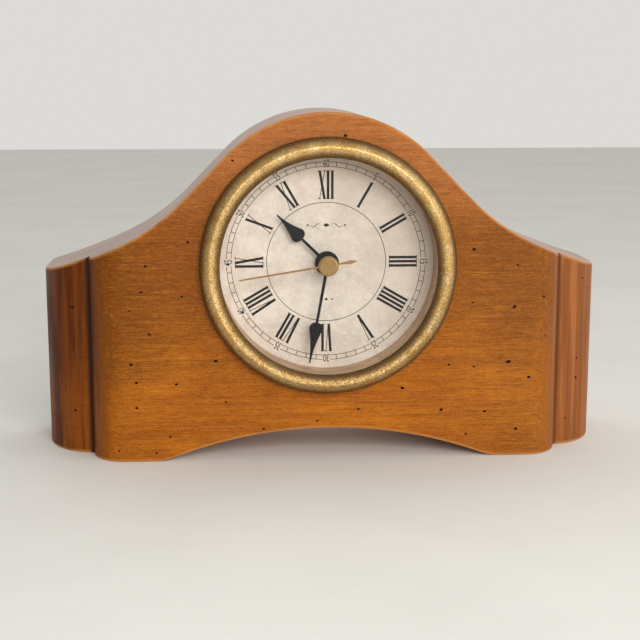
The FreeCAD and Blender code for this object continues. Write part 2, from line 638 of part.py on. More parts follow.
def second_arbor():
    front = SECOND_HAND_Y - SECOND_THICKNESS / 2
    shaft = rod(SECOND_ARBOR_RADIUS, front, INSIDE_BACK - SHAKE)
    return joined(shaft, back_pivot(CENTRE))


def third_wheel():
    teeth = wheel(THIRD_TEETH, SECOND_PINION_TEETH, THIRD_DISTANCE, THIRD, THIRD_LAYER,
                  THIRD_DIRECTION + 180)
    leaves = pinion(THIRD_PINION_TEETH, CENTRE_TEETH, THIRD_DISTANCE, THIRD, CENTRE_LAYER,
                    THIRD_DIRECTION + 180)
    hub = rod(ARBOR_RADIUS + HUB_WALL, MOVEMENT_FRONT + CENTRE_LAYER, MOVEMENT_FRONT + THIRD_LAYER, THIRD)
    return joined(teeth, leaves, hub, *staff(THIRD))


def intermediate_wheel():
    teeth = wheel(INTERMEDIATE_TEETH, ROTOR_PINION_TEETH, ROTOR_DISTANCE, INTERMEDIATE,
                  INTERMEDIATE_LAYER, ROTOR_DIRECTION)
    leaves = pinion(INTERMEDIATE_PINION_TEETH, SECOND_TEETH, INTERMEDIATE_DISTANCE, INTERMEDIATE,
                    SECOND_LAYER, INTERMEDIATE_DIRECTION + 180)
    hub = rod(ARBOR_RADIUS + HUB_WALL, MOVEMENT_FRONT + SECOND_LAYER,
              MOVEMENT_FRONT + INTERMEDIATE_LAYER, INTERMEDIATE)
    return joined(teeth, leaves, hub, *staff(INTERMEDIATE))


def rotor_pinion():
    leaves = pinion(ROTOR_PINION_TEETH, INTERMEDIATE_TEETH, ROTOR_DISTANCE, ROTOR, INTERMEDIATE_LAYER,
                    ROTOR_DIRECTION + 180)
    collar = rod(MAGNET_RADIUS, MAGNET_BACK, MAGNET_BACK + MAGNET_COLLAR, ROTOR)
    return joined(leaves, collar, *staff(ROTOR))


def rotor_magnet():
    return tube(MAGNET_RADIUS, ARBOR_RADIUS, MAGNET_FRONT, MAGNET_BACK, ROTOR)


def motion_wheel():
    """Wheel, pinion and setting arbor in one; the arbor runs out through the back cover."""
    teeth = wheel(MOTION_TEETH, MINUTE_PINION_TEETH, MOTION_DISTANCE, MOTION, MINUTE_LAYER,
                  MOTION_DIRECTION + 180)
    leaves = pinion(MOTION_PINION_TEETH, HOUR_TEETH, MOTION_DISTANCE, MOTION, HOUR_LAYER,
                    MOTION_DIRECTION + 180)
    arbor = rod(SETTING_ARBOR_RADIUS, INSIDE_FRONT + SHAKE, KNOB_BACK, MOTION)
    return joined(teeth, leaves, arbor, front_pivot(MOTION))


def setting_knob():
    front = KNOB_BACK - KNOB_THICKNESS
    knob = tube(KNOB_RADIUS, SETTING_ARBOR_RADIUS, front, KNOB_BACK, MOTION)
    for scallop in range(KNOB_SCALLOPS):
        place = polar(KNOB_RADIUS + SCALLOP_OFFSET, scallop * 360.0 / KNOB_SCALLOPS, MOTION)
        knob = knob.cut(rod(SCALLOP_RADIUS, front - OVERCUT, KNOB_BACK + OVERCUT, place))
    return knob


# ---- Movement case -----------------------------------------------------------------------
def runs_front_to_back(edge):
    start, end = edge.Vertexes
    return start.X == end.X and start.Z == end.Z


def movement_block(front, back, inset=0.0):
    """A square block of the movement's size, less an inset, with rounded corners."""
    solid = block(-MOVEMENT_HALF + inset, MOVEMENT_HALF - inset, front, back,
                  MOVEMENT_BOTTOM + inset, MOVEMENT_TOP - inset)
    corners = [edge for edge in solid.Edges if runs_front_to_back(edge)]
    return solid.makeFillet(max(CORNER_RADIUS - inset, LEAST_CORNER), corners)


def movement_front_case():
    """Open tray: front plate, four walls, the wall above the battery bay and the board's posts."""
    tray = movement_block(MOVEMENT_FRONT, INSIDE_BACK)
    tray = tray.cut(movement_block(INSIDE_FRONT, INSIDE_BACK + OVERCUT, MOVEMENT_WALL))
    notch = CONTACT_NOTCH + MOVEMENT_WALL
    wall = block(-MOVEMENT_HALF + notch, MOVEMENT_HALF - notch, INSIDE_FRONT, INSIDE_BACK,
                 BAY_TOP, BAY_TOP + PARTITION)
    posts = [rod(POST_RADIUS, INSIDE_FRONT, CIRCUIT_FRONT, place) for place in POSTS]
    tray = joined(tray, wall, *posts)
    tray = tray.cut(rod(BUSHING_RADIUS, MOVEMENT_FRONT - OVERCUT, INSIDE_FRONT + OVERCUT))
    for place in (THIRD, INTERMEDIATE, ROTOR, MOTION):
        hole = rod(PIVOT_RADIUS + RUNNING, INSIDE_FRONT - PIVOT_LENGTH, INSIDE_FRONT + OVERCUT, place)
        tray = tray.cut(hole)
    return tray


def movement_back_cover():
    """Lid over the train with an open window over the battery bay and a hole for the knob's arbor."""
    lid = movement_block(INSIDE_BACK, MOVEMENT_BACK)
    inside = INSIDE_BACK - OVERCUT
    outside = MOVEMENT_BACK + OVERCUT
    window = block(-CELL_WINDOW, CELL_WINDOW, inside, outside,
                   CELL_Z - CELL_RADIUS - CELL_CLEARANCE, BAY_TOP)
    lid = lid.cut(window)
    for place in (CENTRE, THIRD, INTERMEDIATE, ROTOR):
        lid = lid.cut(rod(PIVOT_RADIUS + RUNNING, inside, INSIDE_BACK + PIVOT_LENGTH, place))
    return lid.cut(rod(SETTING_ARBOR_RADIUS + RUNNING, inside, outside, MOTION))


# ---- Motor and circuit -------------------------------------------------------------------
def stator():
    """U-shaped plate: the rotor sits in its bar and the coil's core bridges its legs."""
    middle = MAGNET_FRONT + MAGNET_LENGTH / 2
    front = middle - STATOR_THICKNESS / 2
    back = middle + STATOR_THICKNESS / 2
    half = COIL_LENGTH / 2 + STATOR_BAR
    rotor_z = DIAL_Z + ROTOR[1]
    left = ROTOR[0] - half
    right = ROTOR[0] + half
    top = COIL_Z + CORE_HALF + STATOR_LEG_END
    bar = block(left, right, front, back, rotor_z - STATOR_BELOW, rotor_z + STATOR_ABOVE)
    left_leg = block(left, left + STATOR_BAR, front, back, rotor_z, top)
    right_leg = block(right - STATOR_BAR, right, front, back, rotor_z, top)
    eye = rod(MAGNET_RADIUS + ROTOR_GAP + EYE_RIM, front, back, ROTOR)
    plate = joined(bar, eye, left_leg, right_leg)
    return plate.cut(rod(MAGNET_RADIUS + ROTOR_GAP, front - OVERCUT, back + OVERCUT, ROTOR))


def coil_core():
    """Flat bar through the bobbin, lying on the back of the stator's legs."""
    half = COIL_LENGTH / 2 + STATOR_BAR
    front = MAGNET_FRONT + (MAGNET_LENGTH + STATOR_THICKNESS) / 2
    return block(ROTOR[0] - half, ROTOR[0] + half, front, front + CORE_THICKNESS,
                 COIL_Z - CORE_HALF, COIL_Z + CORE_HALF)


def along_coil(radius, left, right):
    return Part.makeCylinder(radius, right - left, V(left, COIL_Y, COIL_Z), V(1, 0, 0))


def coil_bobbin():
    half = COIL_LENGTH / 2
    left = ROTOR[0] - half
    right = ROTOR[0] + half
    sleeve = along_coil(CORE_HALF + BOBBIN_WALL, left, right)
    cheeks = [along_coil(COIL_RADIUS + CHEEK_PROUD, left, left + BOBBIN_CHEEK),
              along_coil(COIL_RADIUS + CHEEK_PROUD, right - BOBBIN_CHEEK, right)]
    return joined(sleeve, *cheeks).cut(coil_core())


def coil_winding():
    half = COIL_LENGTH / 2 - BOBBIN_CHEEK
    outer = along_coil(COIL_RADIUS, ROTOR[0] - half, ROTOR[0] + half)
    return outer.cut(along_coil(CORE_HALF + BOBBIN_WALL, ROTOR[0] - half, ROTOR[0] + half))


def circuit_board():
    return block(BOARD_LEFT, BOARD_LEFT + BOARD_SIZE[0], CIRCUIT_FRONT, CIRCUIT_BACK,
                 BOARD_TOP - BOARD_SIZE[1], BOARD_TOP)


def quartz_crystal():
    start = V(BOARD_LEFT + CRYSTAL_PLACE[0], CIRCUIT_BACK + CRYSTAL_RADIUS, BOARD_TOP - CRYSTAL_PLACE[1])
    return Part.makeCylinder(CRYSTAL_RADIUS, CRYSTAL_LENGTH, start, V(1, 0, 0))


def timer_chip():
    """Round blob of resin over the chip."""
    centre = V(BOARD_LEFT + CHIP_PLACE[0], CIRCUIT_BACK, BOARD_TOP - CHIP_PLACE[1])
    radius = (CHIP_RADIUS ** 2 + CHIP_HEIGHT ** 2) / (2 * CHIP_HEIGHT)
    ball = Part.makeSphere(radius, centre + V(0, CHIP_HEIGHT - radius, 0))
    above_board = block(centre.x - radius, centre.x + radius, CIRCUIT_BACK, CIRCUIT_BACK + radius,
                        centre.z - radius, centre.z + radius)
    return ball.common(above_board)


def strip(corners, front):
    """Bent metal strip along a path of (x, z) corners that turn square."""
    half = CONTACT_THICKNESS / 2
    legs = []
    for start, end in zip(corners, corners[1:]):
        left, right = min(start[0], end[0]) - half, max(start[0], end[0]) + half
        bottom, top = min(start[1], end[1]) - half, max(start[1], end[1]) + half
        legs.append(block(left, right, front, front + CONTACT_WIDTH, bottom, top))
    return joined(legs[0], *legs[1:])


def positive_contact():
    """Strip up the left wall from the cell's nub to the circuit board."""
    x = -MOVEMENT_HALF + MOVEMENT_WALL + CONTACT_THICKNESS / 2
    leaf = strip([(x, CELL_Z - CONTACT_FOOT), (x, BOARD_TOP - CONTACT_TOP)], CONTACT_FRONT)
    nub_x = CELL_LEFT - CELL_NUB_LENGTH
    dimple = Part.makeCylinder(CELL_NUB_RADIUS, nub_x - SHAKE - x, V(x, CELL_Y, CELL_Z), V(1, 0, 0))
    return joined(leaf, dimple)


def negative_contact():
    """Strip from the cell's flat end, over the bay's wall and up to the board's lower edge."""
    half = CONTACT_THICKNESS / 2
    x = MOVEMENT_HALF - MOVEMENT_WALL - half
    shelf = BAY_TOP + PARTITION + half
    rise_x = BOARD_LEFT + CONTACT_RISE
    leaf = strip([(x, CELL_Z - CONTACT_FOOT), (x, shelf), (rise_x, shelf),
                  (rise_x, BOARD_TOP - BOARD_SIZE[1] - half)], CONTACT_FRONT)
    cell_right = CELL_LEFT + CELL_LENGTH - CELL_NUB_LENGTH + SHAKE
    dimple = Part.makeCylinder(CELL_NUB_RADIUS, x - cell_right, V(cell_right, CELL_Y, CELL_Z), V(1, 0, 0))
    return joined(leaf, dimple)


def battery_cell():
    length = CELL_LENGTH - CELL_NUB_LENGTH
    can = Part.makeCylinder(CELL_RADIUS, length, V(CELL_LEFT, CELL_Y, CELL_Z), V(1, 0, 0))
    can = can.makeFillet(CELL_EDGE, can.Edges)
    nub = Part.makeCylinder(CELL_NUB_RADIUS, CELL_NUB_LENGTH + CELL_EDGE,
                            V(CELL_LEFT - CELL_NUB_LENGTH, CELL_Y, CELL_Z), V(1, 0, 0))
    return joined(can, nub)


# ---- Writing the pieces ------------------------------------------------------------------
PIECES = [
    front_board, case_body,
    bezel_ring, glass_lens, lens_gasket, inner_wall_ring, dial_plate, insert_can, grip_band,
    dial_washer, hex_nut, threaded_bushing,
    hour_hand, minute_hand, second_hand, second_hand_cap,
    hour_wheel, minute_cannon, center_wheel, second_wheel, second_arbor, third_wheel,
    intermediate_wheel, rotor_pinion, rotor_magnet, motion_wheel, setting_knob,
    movement_front_case, movement_back_cover,
    stator, coil_core, coil_bobbin, coil_winding, circuit_board, quartz_crystal, timer_chip,
    positive_contact, negative_contact, battery_cell,
]

os.makedirs("parts", exist_ok=True)
for piece in PIECES:
    shape = piece()
    shape.translate(V(0, BACK_SHIFT, 0))
    if not shape.isValid() or shape.Volume <= 0:
        raise RuntimeError(piece.__name__ + " is not a sound solid")
    shape.exportStep("parts/%s.step" % piece.__name__)
    print(piece.__name__, len(shape.Solids), round(shape.Volume, 2))
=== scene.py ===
import math
import random

import bmesh
import bpy
import numpy as np
from mathutils import Matrix, Vector


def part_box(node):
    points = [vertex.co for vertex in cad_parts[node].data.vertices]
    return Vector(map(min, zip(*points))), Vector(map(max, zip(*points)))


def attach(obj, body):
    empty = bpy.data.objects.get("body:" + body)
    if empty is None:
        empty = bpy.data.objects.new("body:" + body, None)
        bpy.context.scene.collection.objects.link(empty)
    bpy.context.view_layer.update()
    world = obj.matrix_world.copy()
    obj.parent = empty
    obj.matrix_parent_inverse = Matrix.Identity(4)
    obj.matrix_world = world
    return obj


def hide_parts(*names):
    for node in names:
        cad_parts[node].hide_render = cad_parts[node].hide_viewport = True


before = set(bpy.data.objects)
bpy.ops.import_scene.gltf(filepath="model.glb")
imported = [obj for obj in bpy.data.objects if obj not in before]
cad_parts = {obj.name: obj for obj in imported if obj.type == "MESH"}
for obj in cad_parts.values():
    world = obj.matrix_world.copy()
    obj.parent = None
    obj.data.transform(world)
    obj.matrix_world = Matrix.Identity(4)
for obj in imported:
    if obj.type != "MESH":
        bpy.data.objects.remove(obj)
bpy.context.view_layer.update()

# Everything is drawn in millimetres and turned into metres when its mesh is made.
MM = 0.001


def box_mm(node):
    low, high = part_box(node)
    return low / MM, high / MM


# ---- The wooden case's sizes ----
BOARD_LOW, BOARD_HIGH = box_mm("front_board")
BODY_LOW, BODY_HIGH = box_mm("case_body")
BOARD_FRONT = BOARD_LOW.y
JOINT = BODY_LOW.y                # where the front board meets the body
BODY_BACK = BODY_HIGH.y
BOARD_HALF = BOARD_HIGH.x
BODY_HALF = BODY_HIGH.x
CASE_HEIGHT = BODY_HIGH.z
CROWN_RADIUS = 60.0
CROWN_ANGLE = 45.8                # degrees from the top round to the straight flank
FLANK_LENGTH = 24.4
COVE_RADIUS = 97.0
COVE_END_ANGLE = 24.0
SHOULDER_RADIUS = 276.0
ARCH_RADIUS = 188.0
ARCH_HEIGHT = 13.7
FOOT_EASING = 24.0
BOARD_END_RADIUS = 15.0
END_CURVE_DEPTH = 28.5            # the body's ends sweep back over this depth
JOINT_GROOVE = 0.8
BACK_EDGE = 2.5
ARRIS = 1.0                       # rounding of the edges that hands touch
JOINT_ARRIS = 0.12                # edges that close against each other
ARRIS_STEPS = 4
WORN_BAND = 0.5                   # worn finish beside an arris
WORN_REACH = ARRIS + 0.9 * WORN_BAND
WORN_FADE = 0.8                   # the wear fades out over this
BOARD_STAIN = (90.0, 104.0)       # how far across the ends' stain starts, and where it is full
BODY_STAIN = (92.0, 106.0)
PAST = 5.0                        # how far the bore's cutter stands out of the wood
STATION = 2.0                     # spacing of the columns along the case
CURVE_STEPS = 18
BORE_STEPS = 200

# ---- The clock insert's sizes ----
BEZEL_LOW, BEZEL_HIGH = box_mm("bezel_ring")
CAN_LOW, CAN_HIGH = box_mm("insert_can")
WALL_LOW, WALL_HIGH = box_mm("inner_wall_ring")
DIAL_LOW, DIAL_HIGH = box_mm("dial_plate")
CAP_LOW, CAP_HIGH = box_mm("second_hand_cap")
COVER_HIGH = box_mm("movement_back_cover")[1]
KNOB_LOW, KNOB_HIGH = box_mm("setting_knob")
CELL_LOW, CELL_HIGH = box_mm("battery_cell")
DIAL_Z = (DIAL_LOW.z + DIAL_HIGH.z) / 2
DIAL_FACE = DIAL_LOW.y
BORE_RADIUS = box_mm("grip_band")[1].x
BEZEL_RADIUS = BEZEL_HIGH.x
BEZEL_WIDTH = 8.5
BEZEL_EDGE = 0.6                  # height of the upright edge at its foot
BEZEL_APEX = 0.47                 # share of the width, in from the foot, of the highest line
BEZEL_OUTER = (0.29, 0.71)        # middle of the outer flank: shares of the way in and up
BEZEL_INNER = (0.45, 0.30)        # middle of the inner flank: shares of the way out and down
LIP_DROP = 2.1                    # from the highest line down to the lip
LIP_THICKNESS = 0.5
WALL_THICKNESS = 0.6
CAP_FACE = 0.8                    # share of the cap's radius that is flat
CAP_SINK = 0.05                   # how far the flat lies behind the rim
CAP_ROLL = 0.4                    # how far its back edge is drawn in
BEZEL_EASING = (0.25, 0.2)        # eased corner of the bezel's foot: across, and front to back
LIP_EASING = 0.15
SLEEVE_EASING = (0.2, 0.25)       # eased corners of the wall sleeve, at its front and its back
TURN_STEPS = 192
FLANK_STEPS = 14
LIP_STEPS = 12
SMALL_STEPS = 96
CELL_STEPS = 72

# ---- The movement's cover ----
BAR_EASING = 0.2
RIBS = 5
RIB_PLACE = -15.0
RIB_DROP = 14.0                   # from the cover's top down to the first rib
RIB_SPACING = 3.0
RIB_SIZE = (6.0, 0.5, 0.35)       # half width, half height and how far it stands out
SIGN_PLACE = 22.0                 # how far out the plus and minus signs stand
SIGN_RISE = 2.6                   # above the cell
SIGN_SIZE = (1.3, 0.35, 0.3)
ARM_RISE = 0.85                   # the plus sign's upper and lower arms
ARM_SIZE = (0.35, 0.42, 0.3)
COLLAR_GAP = 0.7                  # round the knob
COLLAR_WIDTH = 1.0
COLLAR_HEIGHT = 1.0
COLLAR_EASING = 0.2

# ---- The dial's print ----
INK = 0.04                        # thickness of the printed marks
FINE_INK = INK * 0.8
NUMERAL_INNER = 27.2
NUMERAL_OUTER = 39.4
THICK_STROKE = 1.12
THIN_STROKE = 0.30
SERIF = 0.30                      # thickness of the short lines that end each stroke
NUMERAL_ADVANCE = {"I": 1.82, "V": 3.2, "X": 3.3}
TRACK_INNER = 41.1
TRACK_OUTER = 43.1
TRACK_LINE = 0.23
TICK = 0.27
INNER_CIRCLE = 25.8
INNER_LINE = 0.26
FIGURE_RADIUS = 42.2
FIGURE_HEIGHT = 3.5
FIGURE_WIDTH = 0.60               # how far the figures are narrowed
FIGURE_GAP = 1.45                 # degrees left free each side of a figure, for one digit
TWO_DIGITS = 1.5                  # times as much beside two digits
FIGURE_SIZE = 1.38                # size of the letters for each millimetre of a figure's height
FIGURE_WEIGHT = 0.018             # how much the figures' strokes are thickened
HOUR = 30.0                       # degrees
MINUTE = 6.0
ORNAMENT_UP = 16.0
ORNAMENT_DOWN = -16.3
CURL_START = 2.2                  # a curling line from the middle lozenge to its dot
CURL_LENGTH = 5.0
CURL_RISE = 0.75
CURL_THICK = 0.34                 # thickness that it gains towards its middle
CURL_THIN = 0.08
CURL_STEPS = 14
DOT_PLACE = 8.0
DOT_RADIUS = 0.42
DOT_HOLE = 0.02
DOT_STEPS = 6                     # in each half of the dot
LOZENGE = (1.5, 0.85)             # half width and half height of the upper one
LOWER_LOZENGES = ((-2.6, 0.45), (0.0, 0.65), (2.6, 0.45))     # place across, half height
LOWER_WIDENING = 1.2              # half width for each millimetre of half height

# ---- Floor, light and camera ----
CAMERA_PLACE = Vector((-40.97, -589.31, 164.59))
CAMERA_YAW = 0.0666
CAMERA_PITCH = 0.182
CAMERA_ROLL = -0.0001
CAMERA_LENS = 75.46
BACKDROP = 0.72                   # brightness of the backdrop as the camera sees it
ROOM_WALL = 0.62                  # brightness of each side of the room, as a light
ROOM_RIGHT = 0.25
ROOM_CEILING = 0.34
ROOM_DARKEST = 0.08
KEY_PLACE, KEY_SIZE, KEY_WATTS = (230.0, -1300.0, 560.0), (0.9, 0.6), 15.0
SIDE_PLACE, SIDE_SIZE, SIDE_WATTS = (1150.0, -500.0, 420.0), (0.5, 0.8), 3.0
FLOOR_HALF = 2400.0


def srgb(red, green, blue):
    """A linear colour from the 0 to 255 values that a colour card states."""
    def linear(value):
        share = value / 255
        return share / 12.92 if share <= 0.04045 else ((share + 0.055) / 1.055) ** 2.4
    return (linear(red), linear(green), linear(blue), 1.0)


# ---- Shader maths ----
class Wire:
    """A socket that adds its own nodes: Math for numbers, Vector Math for vectors, Mix for colours."""

    def __init__(self, finish, socket):
        self.finish = finish
        self.socket = socket

    def combine(self, operation, first, second):
        kinds = {item.socket.type for item in (first, second) if isinstance(item, Wire)}
        if "RGBA" in kinds:
            settings = {"data_type": "RGBA", "blend_type": operation}
            return self.finish.node("ShaderNodeMix", settings, {0: 1.0, 6: first, 7: second}, 2)
        if "VECTOR" in kinds:
            pair = {0: first, 1: second}
            for place, item in pair.items():
                if isinstance(item, (int, float)):
                    pair[place] = (item, item, item)
            return self.finish.node("ShaderNodeVectorMath", {"operation": operation}, pair)
        return self.finish.node("ShaderNodeMath", {"operation": operation}, {0: first, 1: second})

    def __add__(self, other):
        return self.combine("ADD", self, other)

    def __sub__(self, other):
        return self.combine("SUBTRACT", self, other)

    def __rsub__(self, other):
        return self.combine("SUBTRACT", other, self)

    def __mul__(self, other):
        return self.combine("MULTIPLY", self, other)

    def __truediv__(self, other):
        return self.combine("DIVIDE", self, other)

    __radd__, __rmul__ = __add__, __mul__

    def __abs__(self):
        return self.finish.node("ShaderNodeMath", {"operation": "ABSOLUTE"}, {0: self})

    def axis(self, name):
        return self.finish.node("ShaderNodeSeparateXYZ", {}, {0: self}, name)

    def length(self):
        return self.finish.node("ShaderNodeVectorMath", {"operation": "LENGTH"}, {0: self}, "Value")

    def step(self, start, end, low=0.0, high=1.0):
        """Rises smoothly from low to high as the value goes from start to end."""
        inputs = {"Value": self, "From Min": start, "From Max": end, "To Min": low, "To Max": high}
        return self.finish.node("ShaderNodeMapRange", {"interpolation_type": "SMOOTHSTEP"}, inputs)


class Finish:
    """One material under a name: its nodes are added by short methods."""

    def __init__(self, name, owner=None):
        self.material = owner or bpy.data.materials.new(name)
        self.material.use_nodes = True
        self.tree = self.material.node_tree
        self.tree.nodes.clear()
        self.place = self.node("ShaderNodeTexCoord", {}, {}, "Object") / MM

    def node(self, kind, settings, inputs, out=0):
        """Adds a node: its settings, then the values or links of its sockets; gives one of its outputs."""
        made = self.tree.nodes.new(kind)
        for name, value in settings.items():
            setattr(made, name, value)
        for name, value in inputs.items():
            socket = made.inputs[name]
            if isinstance(value, Wire):
                self.tree.links.new(value.socket, socket)
            else:
                socket.default_value = value
        return Wire(self, made.outputs[out]) if made.outputs else None

    def mix(self, share, first, second):
        return self.node("ShaderNodeMix", {"data_type": "RGBA"}, {0: share, 6: first, 7: second}, 2)

    def layers(self, colour, *coats):
        """Lays each (share, colour) coat over what is there already."""
        for share, coat in coats:
            colour = self.mix(share, colour, coat)
        return colour

    def noise(self, place, detail=2.0, roughness=0.5, distortion=0.0):
        inputs = {"Vector": place, "Scale": 1.0, "Detail": detail, "Roughness": roughness,
                  "Distortion": distortion}
        return self.node("ShaderNodeTexNoise", {}, inputs)

    def bump(self, height, distance, strength=1.0):
        """Raised detail; the distance is in millimetres."""
        inputs = {"Strength": strength, "Distance": distance * MM, "Height": height}
        return self.node("ShaderNodeBump", {}, inputs)

    def done(self, **sockets):
        """Closes the material: words joined by underscores name the shader's sockets."""
        inputs = {name.replace("_", " "): value for name, value in sockets.items()}
        shader = self.node("ShaderNodeBsdfPrincipled", {}, inputs, "BSDF")
        self.node("ShaderNodeOutputMaterial", {}, {"Surface": shader})
        return self.material


# ---- Wood finishes ----
HONEY = srgb(164, 91, 17)
HONEY_LIGHT = srgb(187, 108, 22)
HONEY_PALE = srgb(206, 130, 42)
HONEY_SHADE = srgb(108, 56, 12)
DARK_FIBRE = srgb(84, 42, 10)
RED_STREAK = srgb(148, 72, 20)
# redder stain at the crown, paled by a painted sheen
RED_STAIN_AND_SHEEN = srgb(188, 116, 64)
# darker tone from the middle of the case's height upward
MIDDLE_DARKER = srgb(116, 62, 12)
TOP_STAIN = srgb(168, 100, 44)
# darker tone for the left end
LEFT_END_DARK = srgb(78, 30, 6)
RIGHT_STAIN = srgb(136, 80, 42)
CLOUD_STAIN = srgb(108, 58, 2)
DULL_STAIN = srgb(120, 76, 34)
FLAME_LIGHT = srgb(184, 116, 66)
FLAME_DARK = srgb(98, 48, 26)
WORN_EDGE = srgb(196, 136, 74)
# painted shade for the groove beside the board
GROOVE_SHADE = srgb(44, 20, 14)
BARE_WOOD = srgb(176, 134, 84)


def grain(finish, place):
    """Long wavy lines that run with the board, from 0 to 1."""
    sway = finish.noise(place * (0.012, 0.02, 0.03), 2.0) * 7.0
    rise = finish.node("ShaderNodeCombineXYZ", {}, {"Z": sway})
    return finish.noise(place * (0.035, 0.9, 1.15) + rise, 4.0, 0.66)


def stained_wood(name, ends_from, ends_to):
    """Honey stain rubbed thin on every arris, darker and redder where the ends turn back."""
    finish = Finish(name)
    place = finish.place
    across, depth, height = [place.axis(axis) for axis in "XYZ"]
    facing = finish.node("ShaderNodeTexCoord", {}, {}, "Normal")
    level = abs(facing.axis("Z")).step(0.3, 0.8)
    upright = (1.0 - level) * facing.axis("Y").step(0.95, 0.8)
    lines = grain(finish, place)
    dashes = finish.noise(place * (0.20, 1.8, 2.1) + (7.0, 3.0, 1.0), 3.0, 0.7)
    cloud = finish.noise(place * (0.016, 0.02, 0.03) + (3.0, 0.0, 5.0), 3.0, 0.55)
    broad = finish.noise(place * (0.01, 0.08, 0.2) + (0.0, 9.0, 2.0), 3.0)
    fine = finish.noise(place * (1.0, 1.6, 2.4), 3.0, 0.75)
    mottle = finish.noise(place * (0.06, 0.26, 0.30) + (2.0, 6.0, 1.0), 4.0, 0.7)
    cracks = finish.noise(place * (0.02, 1.2, 1.9) + (5.0, 5.0, 9.0), 2.0, 0.5)

    # Clouds of colour, each over one part of the case with a ragged border.
    # Darker from the middle of the case's height upward.
    middle = (height + mottle * 40.0 - across * 0.05).step(50.0, 88.0, 0.0, 0.62)
    # Towards the crown: a redder stain with a paler painted sheen over it.
    crown = (height + cloud * 40.0 * (1.0 - level)).step(108.0, 150.0, 0.0, 0.60)
    left_cloud = (cloud * 30.0 + mottle * 20.0 - across).step(86.0, 116.0, 0.0, 0.62)
    dull = (across + mottle * 40.0).step(50.0, 120.0, 0.0, 0.40)
    colour = finish.layers(
        HONEY,
        (cloud.step(0.38, 0.62), HONEY_LIGHT),
        (broad.step(0.50, 0.72, 0.0, 0.40), RED_STREAK),
        (middle, MIDDLE_DARKER),
        (crown, RED_STAIN_AND_SHEEN),
        (left_cloud * height.step(16.0, 48.0, 0.3, 1.0), CLOUD_STAIN),
        (dull, DULL_STAIN),
    )

    # Grain lines, which are quieter where the ends turn back and their own streaks stand upright.
    turn = (abs(across) + cloud * 10.0 - 5.0).step(ends_from, ends_to) * upright
    quiet = 1.0 - turn * 0.7
    colour = finish.layers(
        colour,
        (mottle.step(0.50, 0.68, 0.0, 0.24) * (1.0 - level * 0.6), HONEY_SHADE),
        (lines.step(0.50, 0.66, 0.0, 0.38) * quiet, HONEY_SHADE),
        (lines.step(0.46, 0.34, 0.0, 0.26) * quiet, HONEY_PALE),
        (dashes.step(0.50, 0.66, 0.0, 0.34) * quiet, DARK_FIBRE),
        (dashes.step(0.45, 0.34, 0.0, 0.22) * quiet, HONEY_PALE),
        (fine.step(0.50, 0.66, 0.0, 0.38), DARK_FIBRE),
        (fine.step(0.46, 0.34, 0.0, 0.26), HONEY_PALE),
        (cracks.step(0.62, 0.72, 0.0, 0.44) * quiet, DARK_FIBRE),
        (level * 0.36, TOP_STAIN),
    )
    streak = finish.noise(place * (0.24, 0.1, 0.011) + (1.0, 0.0, 2.0), 3.0, 0.65)
    flame = finish.noise(place * (0.34, 0.32, 0.012) + (6.0, 0.0, 4.0), 2.0, 0.6)
    band = streak.step(0.42, 0.60, 1.0, 0.50) * turn
    right_end = turn * across.step(-1.0, 1.0)
    colour = finish.layers(
        colour,
        (turn * streak.step(0.44, 0.62, 0.0, 0.36), RED_STREAK),
        # The left end made darker, in streaks.
        (band * across.step(1.0, -1.0) * 0.92, LEFT_END_DARK),
        (band * across.step(-1.0, 1.0) * 0.90, RIGHT_STAIN),
        (right_end * flame.step(0.50, 0.64, 0.0, 0.40), FLAME_LIGHT),
        (right_end * flame.step(0.46, 0.32, 0.0, 0.40), FLAME_DARK),
    )

    # Worn arrises, and painted shade in the groove between the board and the body, darker on the left.
    dent = finish.noise(place * (0.05, 0.1, 0.1) + (1.0, 1.0, 8.0), 2.0)
    worn = finish.node("ShaderNodeAttribute", {"attribute_name": "wear"}, {}, "Fac")
    groove = 1.0 - abs(abs(across) - (BOARD_HALF + 0.4)).step(0.3, 2.4)
    near = 1.0 - abs(depth - JOINT).step(2.0, 3.2)
    groove_shade = groove * near * upright * across.step(-1.0, 1.0, 0.92, 0.70)
    colour = finish.layers(colour, (worn * dent.step(0.25, 0.6, 0.25, 0.8), WORN_EDGE),
                           (groove_shade, GROOVE_SHADE))

    sheen = finish.noise(place * (0.03, 0.05, 0.05), 3.0)
    roughness = sheen.step(0.3, 0.7, 0.40, 0.52) + lines.step(0.5, 0.8, 0.0, 0.08)
    relief = lines * 0.5 + fine * 0.35 + dashes * -0.8
    return finish.done(Base_Color=colour, Roughness=roughness, Normal=finish.bump(relief, 0.10, 0.35),
                       Specular_IOR_Level=0.12, Coat_Weight=level * 0.95, Coat_Roughness=0.34)


def bored_wood():
    """Unstained wood inside the bore, with marks of the cutter."""
    finish = Finish("bored_wood")
    rings = finish.noise(finish.place * (0.1, 1.6, 0.1), 2.0)
    lines = grain(finish, finish.place)
    colour = finish.mix(lines.step(0.35, 0.7), BARE_WOOD, srgb(134, 92, 50))
    return finish.done(Base_Color=finish.mix(rings * 0.2, colour, srgb(110, 72, 40)), Roughness=0.75,
                       Normal=finish.bump(rings + lines, 0.1, 0.3))


def pit_shadow():
    """Dark stain that has settled in the distressing marks, deepened as painted shade of the hollows."""
    finish = Finish("pit_shadow")
    depth = finish.noise(finish.place * 1.5, 2.0)
    colour = finish.mix(depth, srgb(24, 11, 5), srgb(70, 34, 14))
    return finish.done(Base_Color=colour, Roughness=0.6)


# ---- Metal finishes ----
GOLD = srgb(204, 162, 96)
GOLD_LIGHT = srgb(236, 202, 140)
BRONZE = srgb(124, 88, 44)
# brown patina, laid on more thickly towards the lower right as painted shade
PATINA_AND_SHADE = srgb(66, 42, 19)


def from_dial_centre(place):
    return (place - (0.0, 0.0, DIAL_Z)) * (1.0, 0.0, 1.0)


